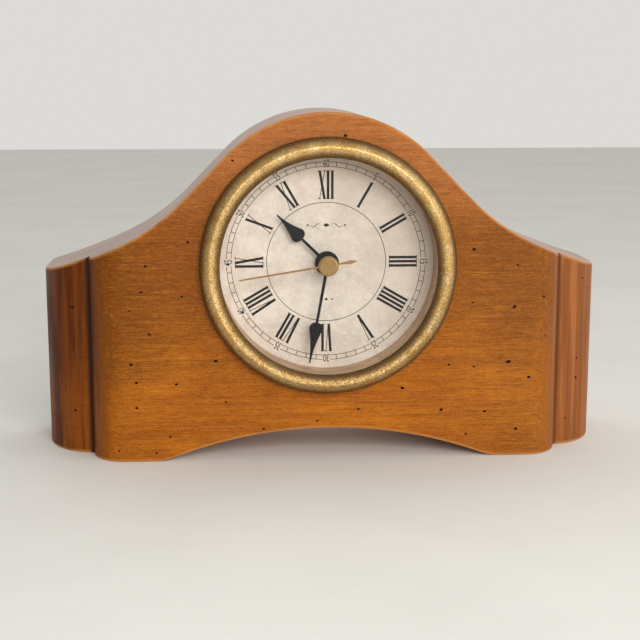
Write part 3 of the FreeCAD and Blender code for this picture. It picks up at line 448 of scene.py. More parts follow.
def antique_gold():
    """Gilt bezel, speckled all over, with brown patina left in its slopes, the speckle thickened towards the
    lower right as painted shade, and a painted shade line at its foot where it meets the wood.
    """
    finish = Finish("antique_gold")
    place = finish.place
    about = from_dial_centre(place)
    slope = abs(about.length() - (BEZEL_RADIUS - BEZEL_WIDTH * BEZEL_APEX))
    patches = finish.noise(place * 0.16, 3.0, 0.6)
    dust = finish.noise(place * 2.1, 1.0, 0.6)
    coarse = finish.noise(place * 3.6 + (4.0, 4.0, 4.0), 3.0, 0.7)
    # Painted shade: more dark speckle towards the lower right, where less light falls.
    lower = (about.axis("X") * 0.3 - about.axis("Z")).step(-12.0, 50.0, 0.012, 0.085)
    patina_and_shade = slope.step(0.8, 4.0, -0.015, 0.15) + patches.step(0.3, 0.7, -0.02, 0.02) + lower
    spots = (dust * 0.75 + coarse * 0.25 + patina_and_shade).step(0.38, 0.74)
    # Painted shade: a dark line at the foot, where the bezel meets the wood.
    foot = 1.0 - (BOARD_FRONT - place.axis("Y")).step(0.1, 0.9)
    colour = finish.layers(GOLD, (patches.step(0.3, 0.7), GOLD_LIGHT),
                           (slope.step(1.2, 4.0, 0.0, 0.78), BRONZE), (spots * 0.72, PATINA_AND_SHADE),
                           (foot * 0.9, srgb(34, 20, 10)))
    roughness = spots.step(0.0, 1.0, 0.46, 0.62) + coarse * 0.06
    metal = spots.step(0.0, 1.0, 0.90, 0.76)
    return finish.done(Base_Color=colour, Metallic=metal, Roughness=roughness,
                       Normal=finish.bump(dust + coarse, 0.05, 0.5))


def brushed(name, colour, shade, roughness=0.3, along=(0.3, 0.3, 6.0)):
    """Fine parallel scratches in bare metal."""
    finish = Finish(name)
    scratches = finish.noise(finish.place * along, 4.0, 0.7)
    cloud = finish.noise(finish.place * 0.35, 2.0)
    tone = finish.mix(scratches.step(0.3, 0.7), colour, shade)
    rough = scratches.step(0.2, 0.8, roughness - 0.05, roughness + 0.12) + cloud * 0.05
    return finish.done(Base_Color=tone, Metallic=1.0, Roughness=rough,
                       Normal=finish.bump(scratches, 0.02, 0.3))


def wall_gold():
    """Toned gilt sleeve that carries a soft reflection of the dial."""
    finish = Finish("wall_gold")
    depth = finish.place.axis("Y")
    cloud = finish.noise(finish.place * (0.08, 0.3, 0.08), 3.0)
    colour = finish.mix(cloud.step(0.3, 0.7), srgb(196, 162, 120), srgb(176, 140, 98))
    edge = (depth - DIAL_FACE).step(-0.9, -0.1)
    colour = finish.mix(edge * 0.85, colour, srgb(92, 56, 34))
    return finish.done(Base_Color=colour, Metallic=0.85, Roughness=cloud.step(0.2, 0.8, 0.24, 0.36))


def gilt_hand():
    finish = Finish("hand_gold")
    scuff = finish.noise(finish.place * (1.2, 1.2, 1.2), 4.0, 0.7)
    colour = finish.mix(scuff.step(0.35, 0.7), srgb(158, 120, 72), srgb(132, 98, 54))
    return finish.done(Base_Color=colour, Metallic=0.75, Roughness=scuff.step(0.2, 0.8, 0.34, 0.5))


def cap_gold():
    """Flat face with upright brush marks, and a brighter rim."""
    finish = Finish("cap_gold")
    marks = finish.noise(finish.place * (4.0, 1.0, 0.35), 3.0, 0.6)
    haze = finish.noise(finish.place * 0.8, 3.0)
    rim = from_dial_centre(finish.place).length().step(CAP_HIGH.x * 0.74, CAP_HIGH.x * 0.84)
    colour = finish.layers(srgb(152, 124, 80), (marks.step(0.3, 0.7), srgb(134, 104, 62)),
                           (haze.step(0.45, 0.8, 0.0, 0.4), srgb(112, 84, 46)),
                           (rim * 0.8, srgb(206, 172, 112)))
    return finish.done(Base_Color=colour, Metallic=0.85, Normal=finish.bump(marks, 0.01, 0.3),
                       Roughness=haze.step(0.2, 0.8, 0.40, 0.52))


# ---- Dial and hands ----
def parchment():
    """Clouded parchment print with a slight mottle, and painted shade towards the upper right."""
    finish = Finish("parchment")
    place = finish.place
    cloud = finish.noise(place * 0.07, 4.0, 0.6, 0.8)
    mottle = finish.noise(place * 0.45 + (9.0, 2.0, 4.0), 5.0, 0.65)
    fibre = finish.noise(place * (2.5, 1.0, 2.5), 3.0, 0.7)
    # Painted shade: the dial grows darker towards the upper right, standing in for the bezel's shadow.
    shade_to_upper_right = (place.axis("X") + place.axis("Z") * 0.6 + cloud * 24.0).step(50.0, 110.0, 0.0, 0.55)
    colour = finish.layers(
        srgb(226, 214, 200),
        (cloud.step(0.34, 0.66), srgb(208, 194, 181)),
        (mottle.step(0.45, 0.75, 0.0, 0.55), srgb(240, 230, 214)),
        (mottle.step(0.48, 0.28, 0.0, 0.40), srgb(204, 186, 170)),
        (fibre.step(0.50, 0.68, 0.0, 0.34), srgb(186, 170, 154)),
        (fibre.step(0.46, 0.34, 0.0, 0.40), srgb(244, 240, 230)),
        (shade_to_upper_right, srgb(192, 174, 158)),
    )
    return finish.done(Base_Color=colour, Roughness=fibre.step(0.2, 0.8, 0.55, 0.7),
                       Normal=finish.bump(fibre + mottle, 0.02, 0.3))


def dial_ink():
    """Dark grey print that lets a few pale specks through."""
    finish = Finish("dial_ink")
    specks = finish.noise(finish.place * 3.2, 4.0, 0.7)
    colour = finish.mix(specks.step(0.58, 0.72, 0.0, 0.7), srgb(35, 33, 30), srgb(140, 134, 124))
    return finish.done(Base_Color=colour, Roughness=specks.step(0.2, 0.8, 0.5, 0.65),
                       Specular_IOR_Level=0.15)


def hand_black():
    finish = Finish("hand_black")
    dust = finish.noise(finish.place * 1.8, 4.0, 0.7)
    colour = finish.mix(dust.step(0.45, 0.8, 0.0, 0.5), srgb(8, 8, 9), srgb(30, 29, 28))
    return finish.done(Base_Color=colour, Roughness=dust.step(0.2, 0.8, 0.38, 0.52),
                       Normal=finish.bump(dust, 0.01, 0.3), Specular_IOR_Level=0.22)


def clear_glass():
    """Clear lens: a faint film of dust is all that shows."""
    finish = Finish("clear_glass")
    film = finish.noise(finish.place * 0.05, 3.0)
    return finish.done(Base_Color=srgb(236, 240, 238), Roughness=0.08,
                       Alpha=film.step(0.2, 0.8, 0.003, 0.008))


# ---- Plastics, rubber and parts inside ----
def moulded(name, colour, shade, grit=2.5, roughness=0.5, relief=0.04):
    """Spark-textured plastic."""
    finish = Finish(name)
    texture = finish.noise(finish.place * grit, 3.0, 0.6)
    cloud = finish.noise(finish.place * 0.1, 2.0)
    tone = finish.mix(cloud.step(0.3, 0.7) * 0.6 + texture * 0.4, colour, shade)
    return finish.done(Base_Color=tone, Normal=finish.bump(texture, relief, 0.5),
                       Roughness=texture.step(0.2, 0.8, roughness - 0.08, roughness + 0.1))


def wound_copper():
    """Enamelled wire: each turn of the coil is a thin ridge."""
    finish = Finish("wound_copper")
    turns = finish.node("ShaderNodeTexWave", {"wave_type": "BANDS", "bands_direction": "X"},
                        {"Vector": finish.place, "Scale": 1.6, "Distortion": 0.4}, "Fac")
    colour = finish.mix(turns, srgb(96, 40, 18), srgb(198, 104, 58))
    return finish.done(Base_Color=colour, Metallic=0.8, Normal=finish.bump(turns, 0.1, 0.8),
                       Roughness=turns.step(0.0, 1.0, 0.5, 0.3))


def circuit_green():
    """Green laminate with copper tracks under the lacquer."""
    finish = Finish("circuit_green")
    place = finish.place
    flat = finish.node("ShaderNodeCombineXYZ", {}, {"X": place.axis("X"), "Y": place.axis("Z")})
    tracks = finish.node("ShaderNodeTexBrick", {"offset": 0.35},
                         {"Vector": flat, "Scale": 0.45, "Mortar Size": 0.03,
                          "Color1": srgb(26, 92, 44), "Color2": srgb(20, 78, 38),
                          "Mortar": srgb(96, 140, 62)}, "Color")
    weave = finish.noise(place * 3.0, 2.0)
    return finish.done(Base_Color=finish.mix(weave * 0.3, tracks, srgb(14, 54, 26)),
                       Roughness=weave.step(0.2, 0.8, 0.28, 0.42), Coat_Weight=0.5)


def cell_jacket():
    """Shrunk film over the cell: a dark sleeve with a copper band at its plus end."""
    finish = Finish("cell_jacket")
    along = finish.place.axis("X")
    scuff = finish.noise(finish.place * (0.6, 2.0, 2.0), 4.0, 0.7)
    start = CELL_LOW.x + 15.0
    sleeve = finish.mix(scuff.step(0.4, 0.8, 0.0, 0.4), srgb(26, 28, 32), srgb(66, 68, 72))
    copper = finish.mix(scuff.step(0.4, 0.8, 0.0, 0.4), srgb(190, 112, 60), srgb(150, 84, 44))
    line = 1.0 - abs(along - start).step(0.35, 0.55)
    colour = finish.mix(along.step(start - 0.1, start + 0.1), copper, sleeve)
    colour = finish.mix(line, colour, srgb(196, 196, 190))
    return finish.done(Base_Color=colour, Metallic=0.35, Roughness=scuff.step(0.2, 0.8, 0.26, 0.42))


# ---- Making meshes ----
def piece_from(shape, name, finishes, crease=35.0):
    """Closes a bmesh drawn in millimetres into a named piece in metres."""
    bmesh.ops.recalc_face_normals(shape, faces=shape.faces)
    shape.transform(Matrix.Scale(MM, 4))
    mesh = bpy.data.meshes.new(name)
    shape.to_mesh(mesh)
    shape.free()
    piece = bpy.data.objects.new(name, mesh)
    bpy.context.scene.collection.objects.link(piece)
    for finish in finishes:
        mesh.materials.append(finish)
    smooth(mesh, crease)
    return piece


def smooth(mesh, crease):
    """Shades the mesh smooth, but for edges that turn by more than the crease in degrees."""
    mesh.shade_smooth()
    mesh.set_sharp_from_angle(angle=math.radians(crease))


def fit(piece, body, slot, *nodes):
    """Says what the piece moves with and which plain parts it stands for; the slot is not used."""
    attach(piece, body)
    if nodes:
        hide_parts(*nodes)


def arc_through(start, middle, end, steps):
    """Points on the circle through three points, from the first to the last."""
    (x1, y1), (x2, y2), (x3, y3) = start, middle, end
    cross = 2 * (x1 * (y2 - y3) + x2 * (y3 - y1) + x3 * (y1 - y2))
    sums = [x * x + y * y for x, y in (start, middle, end)]
    x0 = (sums[0] * (y2 - y3) + sums[1] * (y3 - y1) + sums[2] * (y1 - y2)) / cross
    y0 = (sums[0] * (x3 - x2) + sums[1] * (x1 - x3) + sums[2] * (x2 - x1)) / cross
    radius = math.hypot(x1 - x0, y1 - y0)
    first, half, last = [math.atan2(y - y0, x - x0) for x, y in (start, middle, end)]
    turn = (last - first) % math.tau
    if (half - first) % math.tau > turn:
        turn -= math.tau
    angles = [first + turn * step / steps for step in range(steps + 1)]
    return [(x0 + radius * math.cos(angle), y0 + radius * math.sin(angle)) for angle in angles]


def turned(outline, centre_x=0.0, centre_z=DIAL_Z, steps=TURN_STEPS):
    """Turns a closed outline of (radius, y) about a line that runs front to back."""
    shape = bmesh.new()
    rings = []
    for radius, depth in outline:
        if radius < 1e-6:
            rings.append([shape.verts.new((centre_x, depth, centre_z))] * steps)
            continue
        ring = []
        for step in range(steps):
            angle = math.tau * step / steps
            place = (centre_x + radius * math.cos(angle), depth, centre_z + radius * math.sin(angle))
            ring.append(shape.verts.new(place))
        rings.append(ring)
    for ring, following in zip(rings, rings[1:] + rings[:1]):
        for step in range(steps):
            after = (step + 1) % steps
            corners = [ring[step], ring[after], following[after], following[step]]
            corners = list(dict.fromkeys(corners))
            if len(corners) > 2:
                shape.faces.new(corners)
    return shape


def stack(shape, rings):
    """A solid through rings of corners: each is joined to the next, and both end rings are closed."""
    rings = [[shape.verts.new(corner) for corner in ring] for ring in rings]
    for ring, following in zip(rings, rings[1:]):
        for here in range(len(ring)):
            after = (here + 1) % len(ring)
            shape.faces.new((ring[here], ring[after], following[after], following[here]))
    shape.faces.new(rings[0])
    shape.faces.new(rings[-1])


# ---- The moulded case ----
def circle_height(centre, radius, across, upper):
    """How high a circle's upper or lower half stands at a distance across."""
    rise = math.sqrt(max(radius * radius - (across - centre[0]) ** 2, 0.0))
    return centre[1] + rise if upper else centre[1] - rise


SLOPE = math.radians(CROWN_ANGLE)
COVE_END = math.radians(COVE_END_ANGLE)
CROWN = Vector((0.0, CASE_HEIGHT - CROWN_RADIUS))
FLANK_START = CROWN + CROWN_RADIUS * Vector((math.sin(SLOPE), math.cos(SLOPE)))
FLANK_STOP = FLANK_START + FLANK_LENGTH * Vector((math.cos(SLOPE), -math.sin(SLOPE)))
COVE = FLANK_STOP + COVE_RADIUS * Vector((math.sin(SLOPE), math.cos(SLOPE)))
COVE_STOP = COVE - COVE_RADIUS * Vector((math.sin(COVE_END), math.cos(COVE_END)))
SHOULDER = COVE_STOP + (COVE - COVE_STOP) * (SHOULDER_RADIUS / COVE_RADIUS)
ARCH = Vector((0.0, ARCH_HEIGHT - ARCH_RADIUS))
FOOT_X = math.sqrt((ARCH_RADIUS + FOOT_EASING) ** 2 - (FOOT_EASING - ARCH.y) ** 2)
ARCH_STOP = FOOT_X * ARCH_RADIUS / (ARCH_RADIUS + FOOT_EASING)


def top_height(x):
    """The upper outline: crown, straight flank, cove and long shoulder."""
    across = abs(x)
    if across <= FLANK_START.x:
        return circle_height(CROWN, CROWN_RADIUS, across, True)
    if across <= FLANK_STOP.x:
        return FLANK_START.y - (across - FLANK_START.x) * math.tan(SLOPE)
    if across <= COVE_STOP.x:
        return circle_height(COVE, COVE_RADIUS, across, False)
    return circle_height(SHOULDER, SHOULDER_RADIUS, across, False)


def base_height(x):
    """The lower outline: a low arch eased into a flat foot at each side."""
    across = abs(x)
    if across <= ARCH_STOP:
        return circle_height(ARCH, ARCH_RADIUS, across, True)
    if across <= FOOT_X:
        return circle_height((FOOT_X, FOOT_EASING), FOOT_EASING, across, False)
    return 0.0


def quarter(radius, steps, parts=None):
    """Even steps up a quarter turn: how far it has gone along, and how far it has dropped."""
    angles = [math.pi / 2 * step / (parts or steps) for step in range(steps + 1)]
    return [(radius * math.sin(angle), radius * (1 - math.cos(angle))) for angle in angles]


def stations(limit):
    """Even places across, from the middle to the limit."""
    count = math.ceil(limit / STATION)
    return [limit * step / count for step in range(count + 1)]


def board_plan():
    """Right half of the board from above: (x, y, arris) along the front, then along the back."""
    flat = BOARD_HALF - BOARD_END_RADIUS
    front = [(x, BOARD_FRONT, ARRIS) for x in stations(flat)]
    for along, drop in quarter(BOARD_END_RADIUS, CURVE_STEPS)[1:]:
        front.append((flat + along, BOARD_FRONT + drop, ARRIS))
    front[-1] = (*front[-1][:2], JOINT_ARRIS)
    back = [(x, JOINT, JOINT_ARRIS) for x in stations(BOARD_HALF)[:-1]]
    return front, back


def body_plan():
    """Right half of the body from above: a groove beside the board, then a quarter-ellipse sweep."""
    groove = BOARD_HALF - JOINT_GROOVE
    sweep_start = JOINT + JOINT_GROOVE
    front = [(x, JOINT, JOINT_ARRIS) for x in stations(groove)]
    front += [(groove, sweep_start, JOINT_ARRIS), (BOARD_HALF, sweep_start, JOINT_ARRIS)]
    for along, drop in quarter(1.0, CURVE_STEPS)[1:]:
        across = BOARD_HALF + (BODY_HALF - BOARD_HALF) * along
        front.append((across, sweep_start + END_CURVE_DEPTH * drop, ARRIS))
    front.append((BODY_HALF, BODY_BACK - BACK_EDGE, ARRIS))
    back = [(x, BODY_BACK, ARRIS) for x in stations(BODY_HALF - BACK_EDGE)]
    for along, drop in reversed(quarter(BACK_EDGE, ARRIS_STEPS, ARRIS_STEPS + 1)[1:]):
        back.append((BODY_HALF - drop, BODY_BACK - BACK_EDGE + along, ARRIS))
    return front, back


def full_width(half):
    """A half plan mirrored to run from the left end to the right end."""
    left = [(-x, y, arris) for x, y, arris in reversed(half) if x > 1e-6]
    return left + half


def inward(loop):
    """For each point of a closed plan, how it moves for each millimetre inwards."""
    moves = []
    for index, point in enumerate(loop):
        before, after = loop[index - 1], loop[(index + 1) % len(loop)]
        arriving = Vector((point[0] - before[0], point[1] - before[1])).normalized()
        leaving = Vector((after[0] - point[0], after[1] - point[1])).normalized()
        first = Vector((-arriving.y, arriving.x))
        second = Vector((-leaving.y, leaving.x))
        moves.append((first + second) / (1 + first.dot(second)))
    return moves


def column(shape, point, move, arris):
    """Vertices up one line of the wall, rolled over at the foot and at the top."""
    x, y = point
    inner = ARRIS + WORN_BAND
    places = [(x + move.x * inner, y + move.y * inner, 0.0)]
    for along, rise in quarter(arris, ARRIS_STEPS):
        inset = arris - along
        places.append((x + move.x * inset, y + move.y * inset, rise))
    places.append((x, y, arris + WORN_BAND))
    lower = [(across, depth, base_height(across) + rise) for across, depth, rise in places]
    upper = [(across, depth, top_height(across) - rise) for across, depth, rise in reversed(places)]
    return [shape.verts.new(place) for place in lower + upper]


def zip_cap(shape, front, back):
    """Fills a cap between its front and back rows of vertices, both running left to right."""
    here, there = 0, 0
    while here < len(front) - 1 or there < len(back) - 1:
        front_next = front[here + 1].co.x if here < len(front) - 1 else math.inf
        back_next = back[there + 1].co.x if there < len(back) - 1 else math.inf
        corners = [front[here], back[there]]
        if front_next <= back_next + STATION / 4:
            here += 1
            corners.insert(0, front[here])
        if back_next <= front_next + STATION / 4:
            there += 1
            corners.append(back[there])
        corners = list(dict.fromkeys(corners))
        if len(corners) > 2:
            shape.faces.new(corners)


def moulded_block(plan):
    """The case's outline cut from a plan: walls of columns, closed over the top and under the foot."""
    shape = bmesh.new()
    front, back = [full_width(half) for half in plan]
    loop = front + list(reversed(back))
    moves = inward(loop)
    columns = [column(shape, point[:2], move, point[2]) for point, move in zip(loop, moves)]
    for one, other in zip(columns, columns[1:] + columns[:1]):
        for low in range(len(one) - 1):
            shape.faces.new((one[low], other[low], other[low + 1], one[low + 1]))
    front_columns = columns[:len(front)]
    back_columns = [front_columns[0]] + list(reversed(columns[len(front):])) + [front_columns[-1]]
    for level in (0, -1):
        zip_cap(shape, [line[level] for line in front_columns], [line[level] for line in back_columns])
    return shape


def bore_cutter(finish):
    shape = bmesh.new()
    angles = [math.tau * step / BORE_STEPS for step in range(BORE_STEPS)]
    stack(shape, [[(BORE_RADIUS * math.cos(angle), depth, DIAL_Z + BORE_RADIUS * math.sin(angle))
                   for angle in angles] for depth in (BOARD_FRONT - PAST, BODY_BACK + PAST)])
    return piece_from(shape, "bore_cutter", [finish])


# Distressing marks as (x, z, width) on the front, then on the ends.
BOARD_PITS = [
    (7, 139, 1.5), (-40, 129, 1.0), (-59, 95, 1.1), (62, 91, 1.5), (-77, 85, 1.1), (81, 84, 0.9),
    (-79, 74, 1.2), (-62, 72, 0.9), (93, 70, 1.0), (62, 68, 1.0), (80, 66, 1.5), (-84, 66, 1.0),
    (-76, 56, 1.2), (94, 53, 0.8), (-48, 44, 1.4), (78, 42, 1.6), (-84, 43, 1.4), (52, 41, 1.0),
    (63, 40, 1.0), (87, 35, 1.3), (-82, 35, 1.2), (-65, 34, 1.2), (32, 31, 1.4), (-44, 26, 1.0),
    (-82, 24, 1.1), (13, 22, 0.9), (49, 21, 1.5), (68, 20, 1.1), (-5, 17, 0.9), (-28, 14, 1.0),
    (82, 12, 1.4), (60, 10, 1.0), (-68, 11, 1.0), (-90, 5, 1.0), (-74, 4, 1.0),
]
BODY_PITS = [
    (-110, 65, 1.8), (-110, 19, 1.3), (-119, 24, 0.9), (118, 70, 1.0), (113, 39, 1.0), (113, 30, 1.2),
    (115, 75, 0.9), (108, 12, 0.8),
]
PIT_SIDES = 10
PIT_DEPTH = 1.3
PIT_ACROSS, PIT_UP = 0.64, 0.46   # half sizes, as shares of the width stated above
PIT_RINGS = ((0.6, 1.15), (0.0, 1.0), (-0.55 * PIT_DEPTH, 0.72), (-PIT_DEPTH, 0.3))


def skin_at(plan, x):
    """Where the front of a plan lies at a distance across, and which way is out of the wood there."""
    front = full_width(plan[0])
    for one, other in zip(front, front[1:]):
        if one[0] <= x <= other[0] and other[0] > one[0]:
            share = (x - one[0]) / (other[0] - one[0])
            along = Vector((other[0] - one[0], other[1] - one[1])).normalized()
            return one[1] + (other[1] - one[1]) * share, Vector((along.y, -along.x))
    raise ValueError("no wood at x = %g" % x)


def pit_cutter(name, plan, pits, finish):
    """Small ragged holes, square to the surface, that narrow towards their floors."""
    dice = random.Random(7)
    shape = bmesh.new()
    for x, z, width in pits:
        y, out = skin_at(plan, x)
        side = Vector((-out.y, out.x))
        skew = dice.uniform(-0.3, 0.3)
        corners = [(math.tau * corner / PIT_SIDES, width * dice.uniform(0.78, 1.15))
                   for corner in range(PIT_SIDES)]
        rings = []
        for lift, size in PIT_RINGS:
            ring = []
            for angle, reach in corners:
                flat = Vector((x, y)) + out * lift + side * (PIT_ACROSS * size * reach * math.cos(angle))
                ring.append((flat.x, flat.y, z + PIT_UP * size * reach * math.sin(angle + skew)))
            rings.append(ring)
        stack(shape, rings)
    return piece_from(shape, name, [finish])


def carve(solid, cutters):
    """Cuts the shapes out of the solid; the cut faces keep the cutter's finish."""
    for cutter in cutters:
        cut = solid.modifiers.new("carve", "BOOLEAN")
        cut.operation = "DIFFERENCE"
        cut.solver = "EXACT"
        cut.material_mode = "TRANSFER"
        cut.object = cutter
    reckoned = bpy.context.evaluated_depsgraph_get()
    carved = bpy.data.meshes.new_from_object(solid.evaluated_get(reckoned), depsgraph=reckoned)
    solid.modifiers.clear()
    solid.data = carved
    for cutter in cutters:
        bpy.data.objects.remove(cutter)


def mark_wear(piece, plan):
    """Stores how near each point is to an arris, where the stain is rubbed thin."""
    mesh = piece.data
    places = np.zeros(len(mesh.vertices) * 3)
    mesh.vertices.foreach_get("co", places)
    places = places.reshape(-1, 3) / MM
    front, back = [full_width(half) for half in plan]
    loop = front + list(reversed(back))
    handled = [pair for pair in zip(loop, loop[1:] + loop[:1]) if min(pair[0][2], pair[1][2]) == ARRIS]
    start, stop = [np.array([pair[end][:2] for pair in handled]) for end in (0, 1)]
    along = stop - start
    wear = np.zeros(len(places), np.float32)
    for index, (x, y, z) in enumerate(places):
        share = ((np.array((x, y)) - start) * along).sum(1) / (along * along).sum(1)
        nearest = start + along * np.clip(share, 0, 1)[:, None]
        wall = np.hypot(nearest[:, 0] - x, nearest[:, 1] - y).min()
        edge = max(min(top_height(x) - z, z - base_height(x)), 0.0)
        wear[index] = np.clip((WORN_REACH - math.hypot(wall, edge)) / WORN_FADE, 0, 1)
    mesh.attributes.new("wear", "FLOAT", "POINT").data.foreach_set("value", wear)


def wooden_case():
    bored, pitted = bored_wood(), pit_shadow()
    parts = (
        ("board_moulding", board_plan(), BOARD_PITS, "front_wood", "front_board", BOARD_STAIN),
        ("body_moulding", body_plan(), BODY_PITS, "case_wood", "case_body", BODY_STAIN),
    )
    for name, plan, pits, slot, node, stain in parts:
        piece = piece_from(moulded_block(plan), name, [stained_wood(slot, *stain)])
        carve(piece, [bore_cutter(bored), pit_cutter(name + "_pits", plan, pits, pitted)])
        smooth(piece.data, 40.0)
        mark_wear(piece, plan)
        fit(piece, "case", slot, node)


# ---- Making the insert ----
def bezel():
    foot, top = BEZEL_HIGH.y, BEZEL_LOW.y
    lip = BEZEL_RADIUS - BEZEL_WIDTH
    lip_front = top + LIP_DROP
    lip_back = lip_front + LIP_THICKNESS
    crest = BEZEL_RADIUS - BEZEL_WIDTH * BEZEL_APEX
    edge = foot - BEZEL_EDGE
    outer = (BEZEL_RADIUS - (BEZEL_RADIUS - crest) * BEZEL_OUTER[0], edge + (top - edge) * BEZEL_OUTER[1])
    inner = (lip + (crest - lip) * BEZEL_INNER[0], top + LIP_DROP * BEZEL_INNER[1])
    outline = [(BEZEL_RADIUS - BEZEL_EASING[0], foot), (BEZEL_RADIUS, foot - BEZEL_EASING[1])]
    outline += arc_through((BEZEL_RADIUS, edge), outer, (crest, top), FLANK_STEPS)
    outline += arc_through((crest, top), inner, (lip, lip_front), LIP_STEPS)[1:]
    outline += [(lip, lip_back - LIP_EASING), (lip + LIP_EASING, lip_back), (WALL_HIGH.x, lip_back),
                (WALL_HIGH.x, CAN_LOW.y), (CAN_HIGH.x, CAN_LOW.y), (CAN_HIGH.x, foot)]
    piece = piece_from(turned(outline), "gilt_bezel", [antique_gold()])
    fit(piece, "case", "antique_gold", "bezel_ring")


def wall_sleeve():
    outer, inner = WALL_HIGH.x, WALL_HIGH.x - WALL_THICKNESS
    front, back = WALL_LOW.y, WALL_HIGH.y
    near, far = SLEEVE_EASING
    outline = [(outer, front), (inner + near, front), (inner, front + near), (inner, back - far),
               (inner + near, back), (outer, back)]
    piece = piece_from(turned(outline), "wall_sleeve", [wall_gold()])
    fit(piece, "case", "ring_gold", "inner_wall_ring")


def hub_cap():
    """Cap over the second hand's collet: rolled rim, shallow step and a flat brushed face."""
    radius = CAP_HIGH.x
    front, back = CAP_LOW.y, CAP_HIGH.y
    face = radius * CAP_FACE
    sunk = front + CAP_SINK
    rim = arc_through((radius - CAP_ROLL, back), (radius, (front + back) / 2), (face, front), FLANK_STEPS)
    outline = [(0.0, back)] + rim + [(face - 0.2, front), (face - 0.3, sunk), (face - 0.34, sunk),
                                     (0.0, sunk)]
    piece = piece_from(turned(outline, steps=SMALL_STEPS), "hub_cap", [cap_gold()], 20.0)
    fit(piece, "second_hand", "hand_gold", "second_hand_cap")


# ---- Printing the dial ----
def on_dial(hour_angle, across, out):
    """A point of the print: the angle is clockwise from twelve, out is from the dial's centre."""
    angle = math.radians(hour_angle)
    return (out * math.sin(angle) + across * math.cos(angle),
            DIAL_Z + out * math.cos(angle) - across * math.sin(angle))


def ribbon(shape, left, right, thickness=INK, closed=False):
    """A printed mark on the dial's face, between two rows of (x, z) points."""
    rows = [[shape.verts.new((x, depth, z)) for x, z in row]
            for depth in (DIAL_FACE - thickness, DIAL_FACE) for row in (left, right)]
    count = len(left)
    last = count if closed else count - 1
    for step in range(last):
        after = (step + 1) % count
        for one, other in ((0, 1), (1, 3), (3, 2), (2, 0)):
            shape.faces.new((rows[one][step], rows[one][after], rows[other][after], rows[other][step]))
    if not closed:
        for step in (0, count - 1):
            shape.faces.new([rows[row][step] for row in (0, 1, 3, 2)])


def bar(shape, angle, start, stop, width, thickness=INK):
    """A straight stroke from (across, out) to (across, out) at one place on the dial."""
    sides = [[on_dial(angle, across + side * width / 2, out) for across, out in (start, stop)]
             for side in (-1, 1)]
    ribbon(shape, *sides, thickness)


def arc_line(shape, radius, width, start, stop):
    steps = max(2, math.ceil((stop - start) / 2))
    angles = [start + (stop - start) * step / steps for step in range(steps + 1)]
    closed = stop - start >= 360
    if closed:
        angles = angles[:-1]
    sides = [[on_dial(angle, 0.0, radius + side * width / 2) for angle in angles] for side in (-1, 1)]
    ribbon(shape, *sides, closed=closed)


NUMERALS = ["I", "II", "III", "IIII", "V", "VI", "VII", "VIII", "IX", "X", "XI", "XII"]
# For each letter its strokes: across at the foot, across at the head, width, and its serifs' length.
LETTERS = {
    "I": [(0.0, 0.0, THICK_STROKE, 1.7)],
    "V": [(-0.16, -0.95, THICK_STROKE, 1.55), (0.08, 1.0, THIN_STROKE, 1.15)],
    "X": [(1.05, -1.05, THICK_STROKE, 1.6), (-1.1, 1.1, THIN_STROKE, 1.25)],
}


def numeral(shape, letters, angle):
    """Roman letters with their feet to the centre; a V comes to a point and has no serif there."""
    middle = -sum(NUMERAL_ADVANCE[letter] for letter in letters) / 2
    for letter in letters:
        middle += NUMERAL_ADVANCE[letter] / 2
        for foot, head, width, serif in LETTERS[letter]:
            level = INK if width == THICK_STROKE else FINE_INK
            bar(shape, angle, (middle + foot, NUMERAL_INNER), (middle + head, NUMERAL_OUTER), width, level)
            ends = [(head, NUMERAL_OUTER - SERIF / 2), (foot, NUMERAL_INNER + SERIF / 2)]
            for across, out in ends[:1 if letter == "V" else 2]:
                sides = [[on_dial(angle, middle + across + end * serif / 2, out + side * SERIF / 2)
                          for end in (-1, 1)] for side in (-1, 1)]
                ribbon(shape, *sides, level * 0.7)
        middle += NUMERAL_ADVANCE[letter] / 2


def figure_mesh(text):
    """The outline of a small number, from Blender's own letters, as a thin mesh in millimetres."""
    letters = bpy.data.curves.new("figure", "FONT")
    letters.body = text
    letters.size = FIGURE_HEIGHT * FIGURE_SIZE
    letters.offset = FIGURE_WEIGHT
    letters.align_x = "CENTER"
    letters.align_y = "CENTER"
    letters.extrude = INK / 2
    letters.space_character = 0.95
    letters.resolution_u = 4
    holder = bpy.data.objects.new("figure", letters)
    bpy.context.scene.collection.objects.link(holder)
    reckoned = bpy.context.evaluated_depsgraph_get()
    mesh = bpy.data.meshes.new_from_object(holder.evaluated_get(reckoned), depsgraph=reckoned)
    bpy.data.objects.remove(holder)
    return mesh


def minute_figures(shape):
    for minute in range(5, 65, 5):
        angle = minute * MINUTE
        x, z = on_dial(angle, 0.0, FIGURE_RADIUS)
        stand = Matrix.Translation((x, DIAL_FACE - INK / 2, z))
        stand = stand @ Matrix.Rotation(math.radians(angle), 4, "Y") @ Matrix.Rotation(math.pi / 2, 4, "X")
        mesh = figure_mesh(str(minute))
        mesh.transform(stand @ Matrix.Diagonal((FIGURE_WIDTH, 1.0, 1.0, 1.0)))
        shape.from_mesh(mesh)
        bpy.data.meshes.remove(mesh)


def minute_track(shape):
    for hour in range(12):
        start = hour * HOUR + FIGURE_GAP * (1 if hour == 1 else TWO_DIGITS)
        stop = (hour + 1) * HOUR - FIGURE_GAP * (1 if hour == 0 else TWO_DIGITS)
        for radius in (TRACK_INNER, TRACK_OUTER):
            arc_line(shape, radius, TRACK_LINE, start, stop)
        for minute in range(1, 5):
            angle = hour * HOUR + minute * MINUTE
            bar(shape, angle, (0.0, TRACK_INNER), (0.0, TRACK_OUTER), TICK, FINE_INK)


def lozenge(shape, across, up, half_width, half_height):
    rows = [(across - half_width, 0.0), (across, half_height), (across + half_width, 0.0)]
    upper = [(x, DIAL_Z + up + rise) for x, rise in rows]
    lower = [(x, DIAL_Z + up - rise) for x, rise in rows]
    for side in (0, 1):
        ribbon(shape, upper[side:side + 2], lower[side:side + 2])


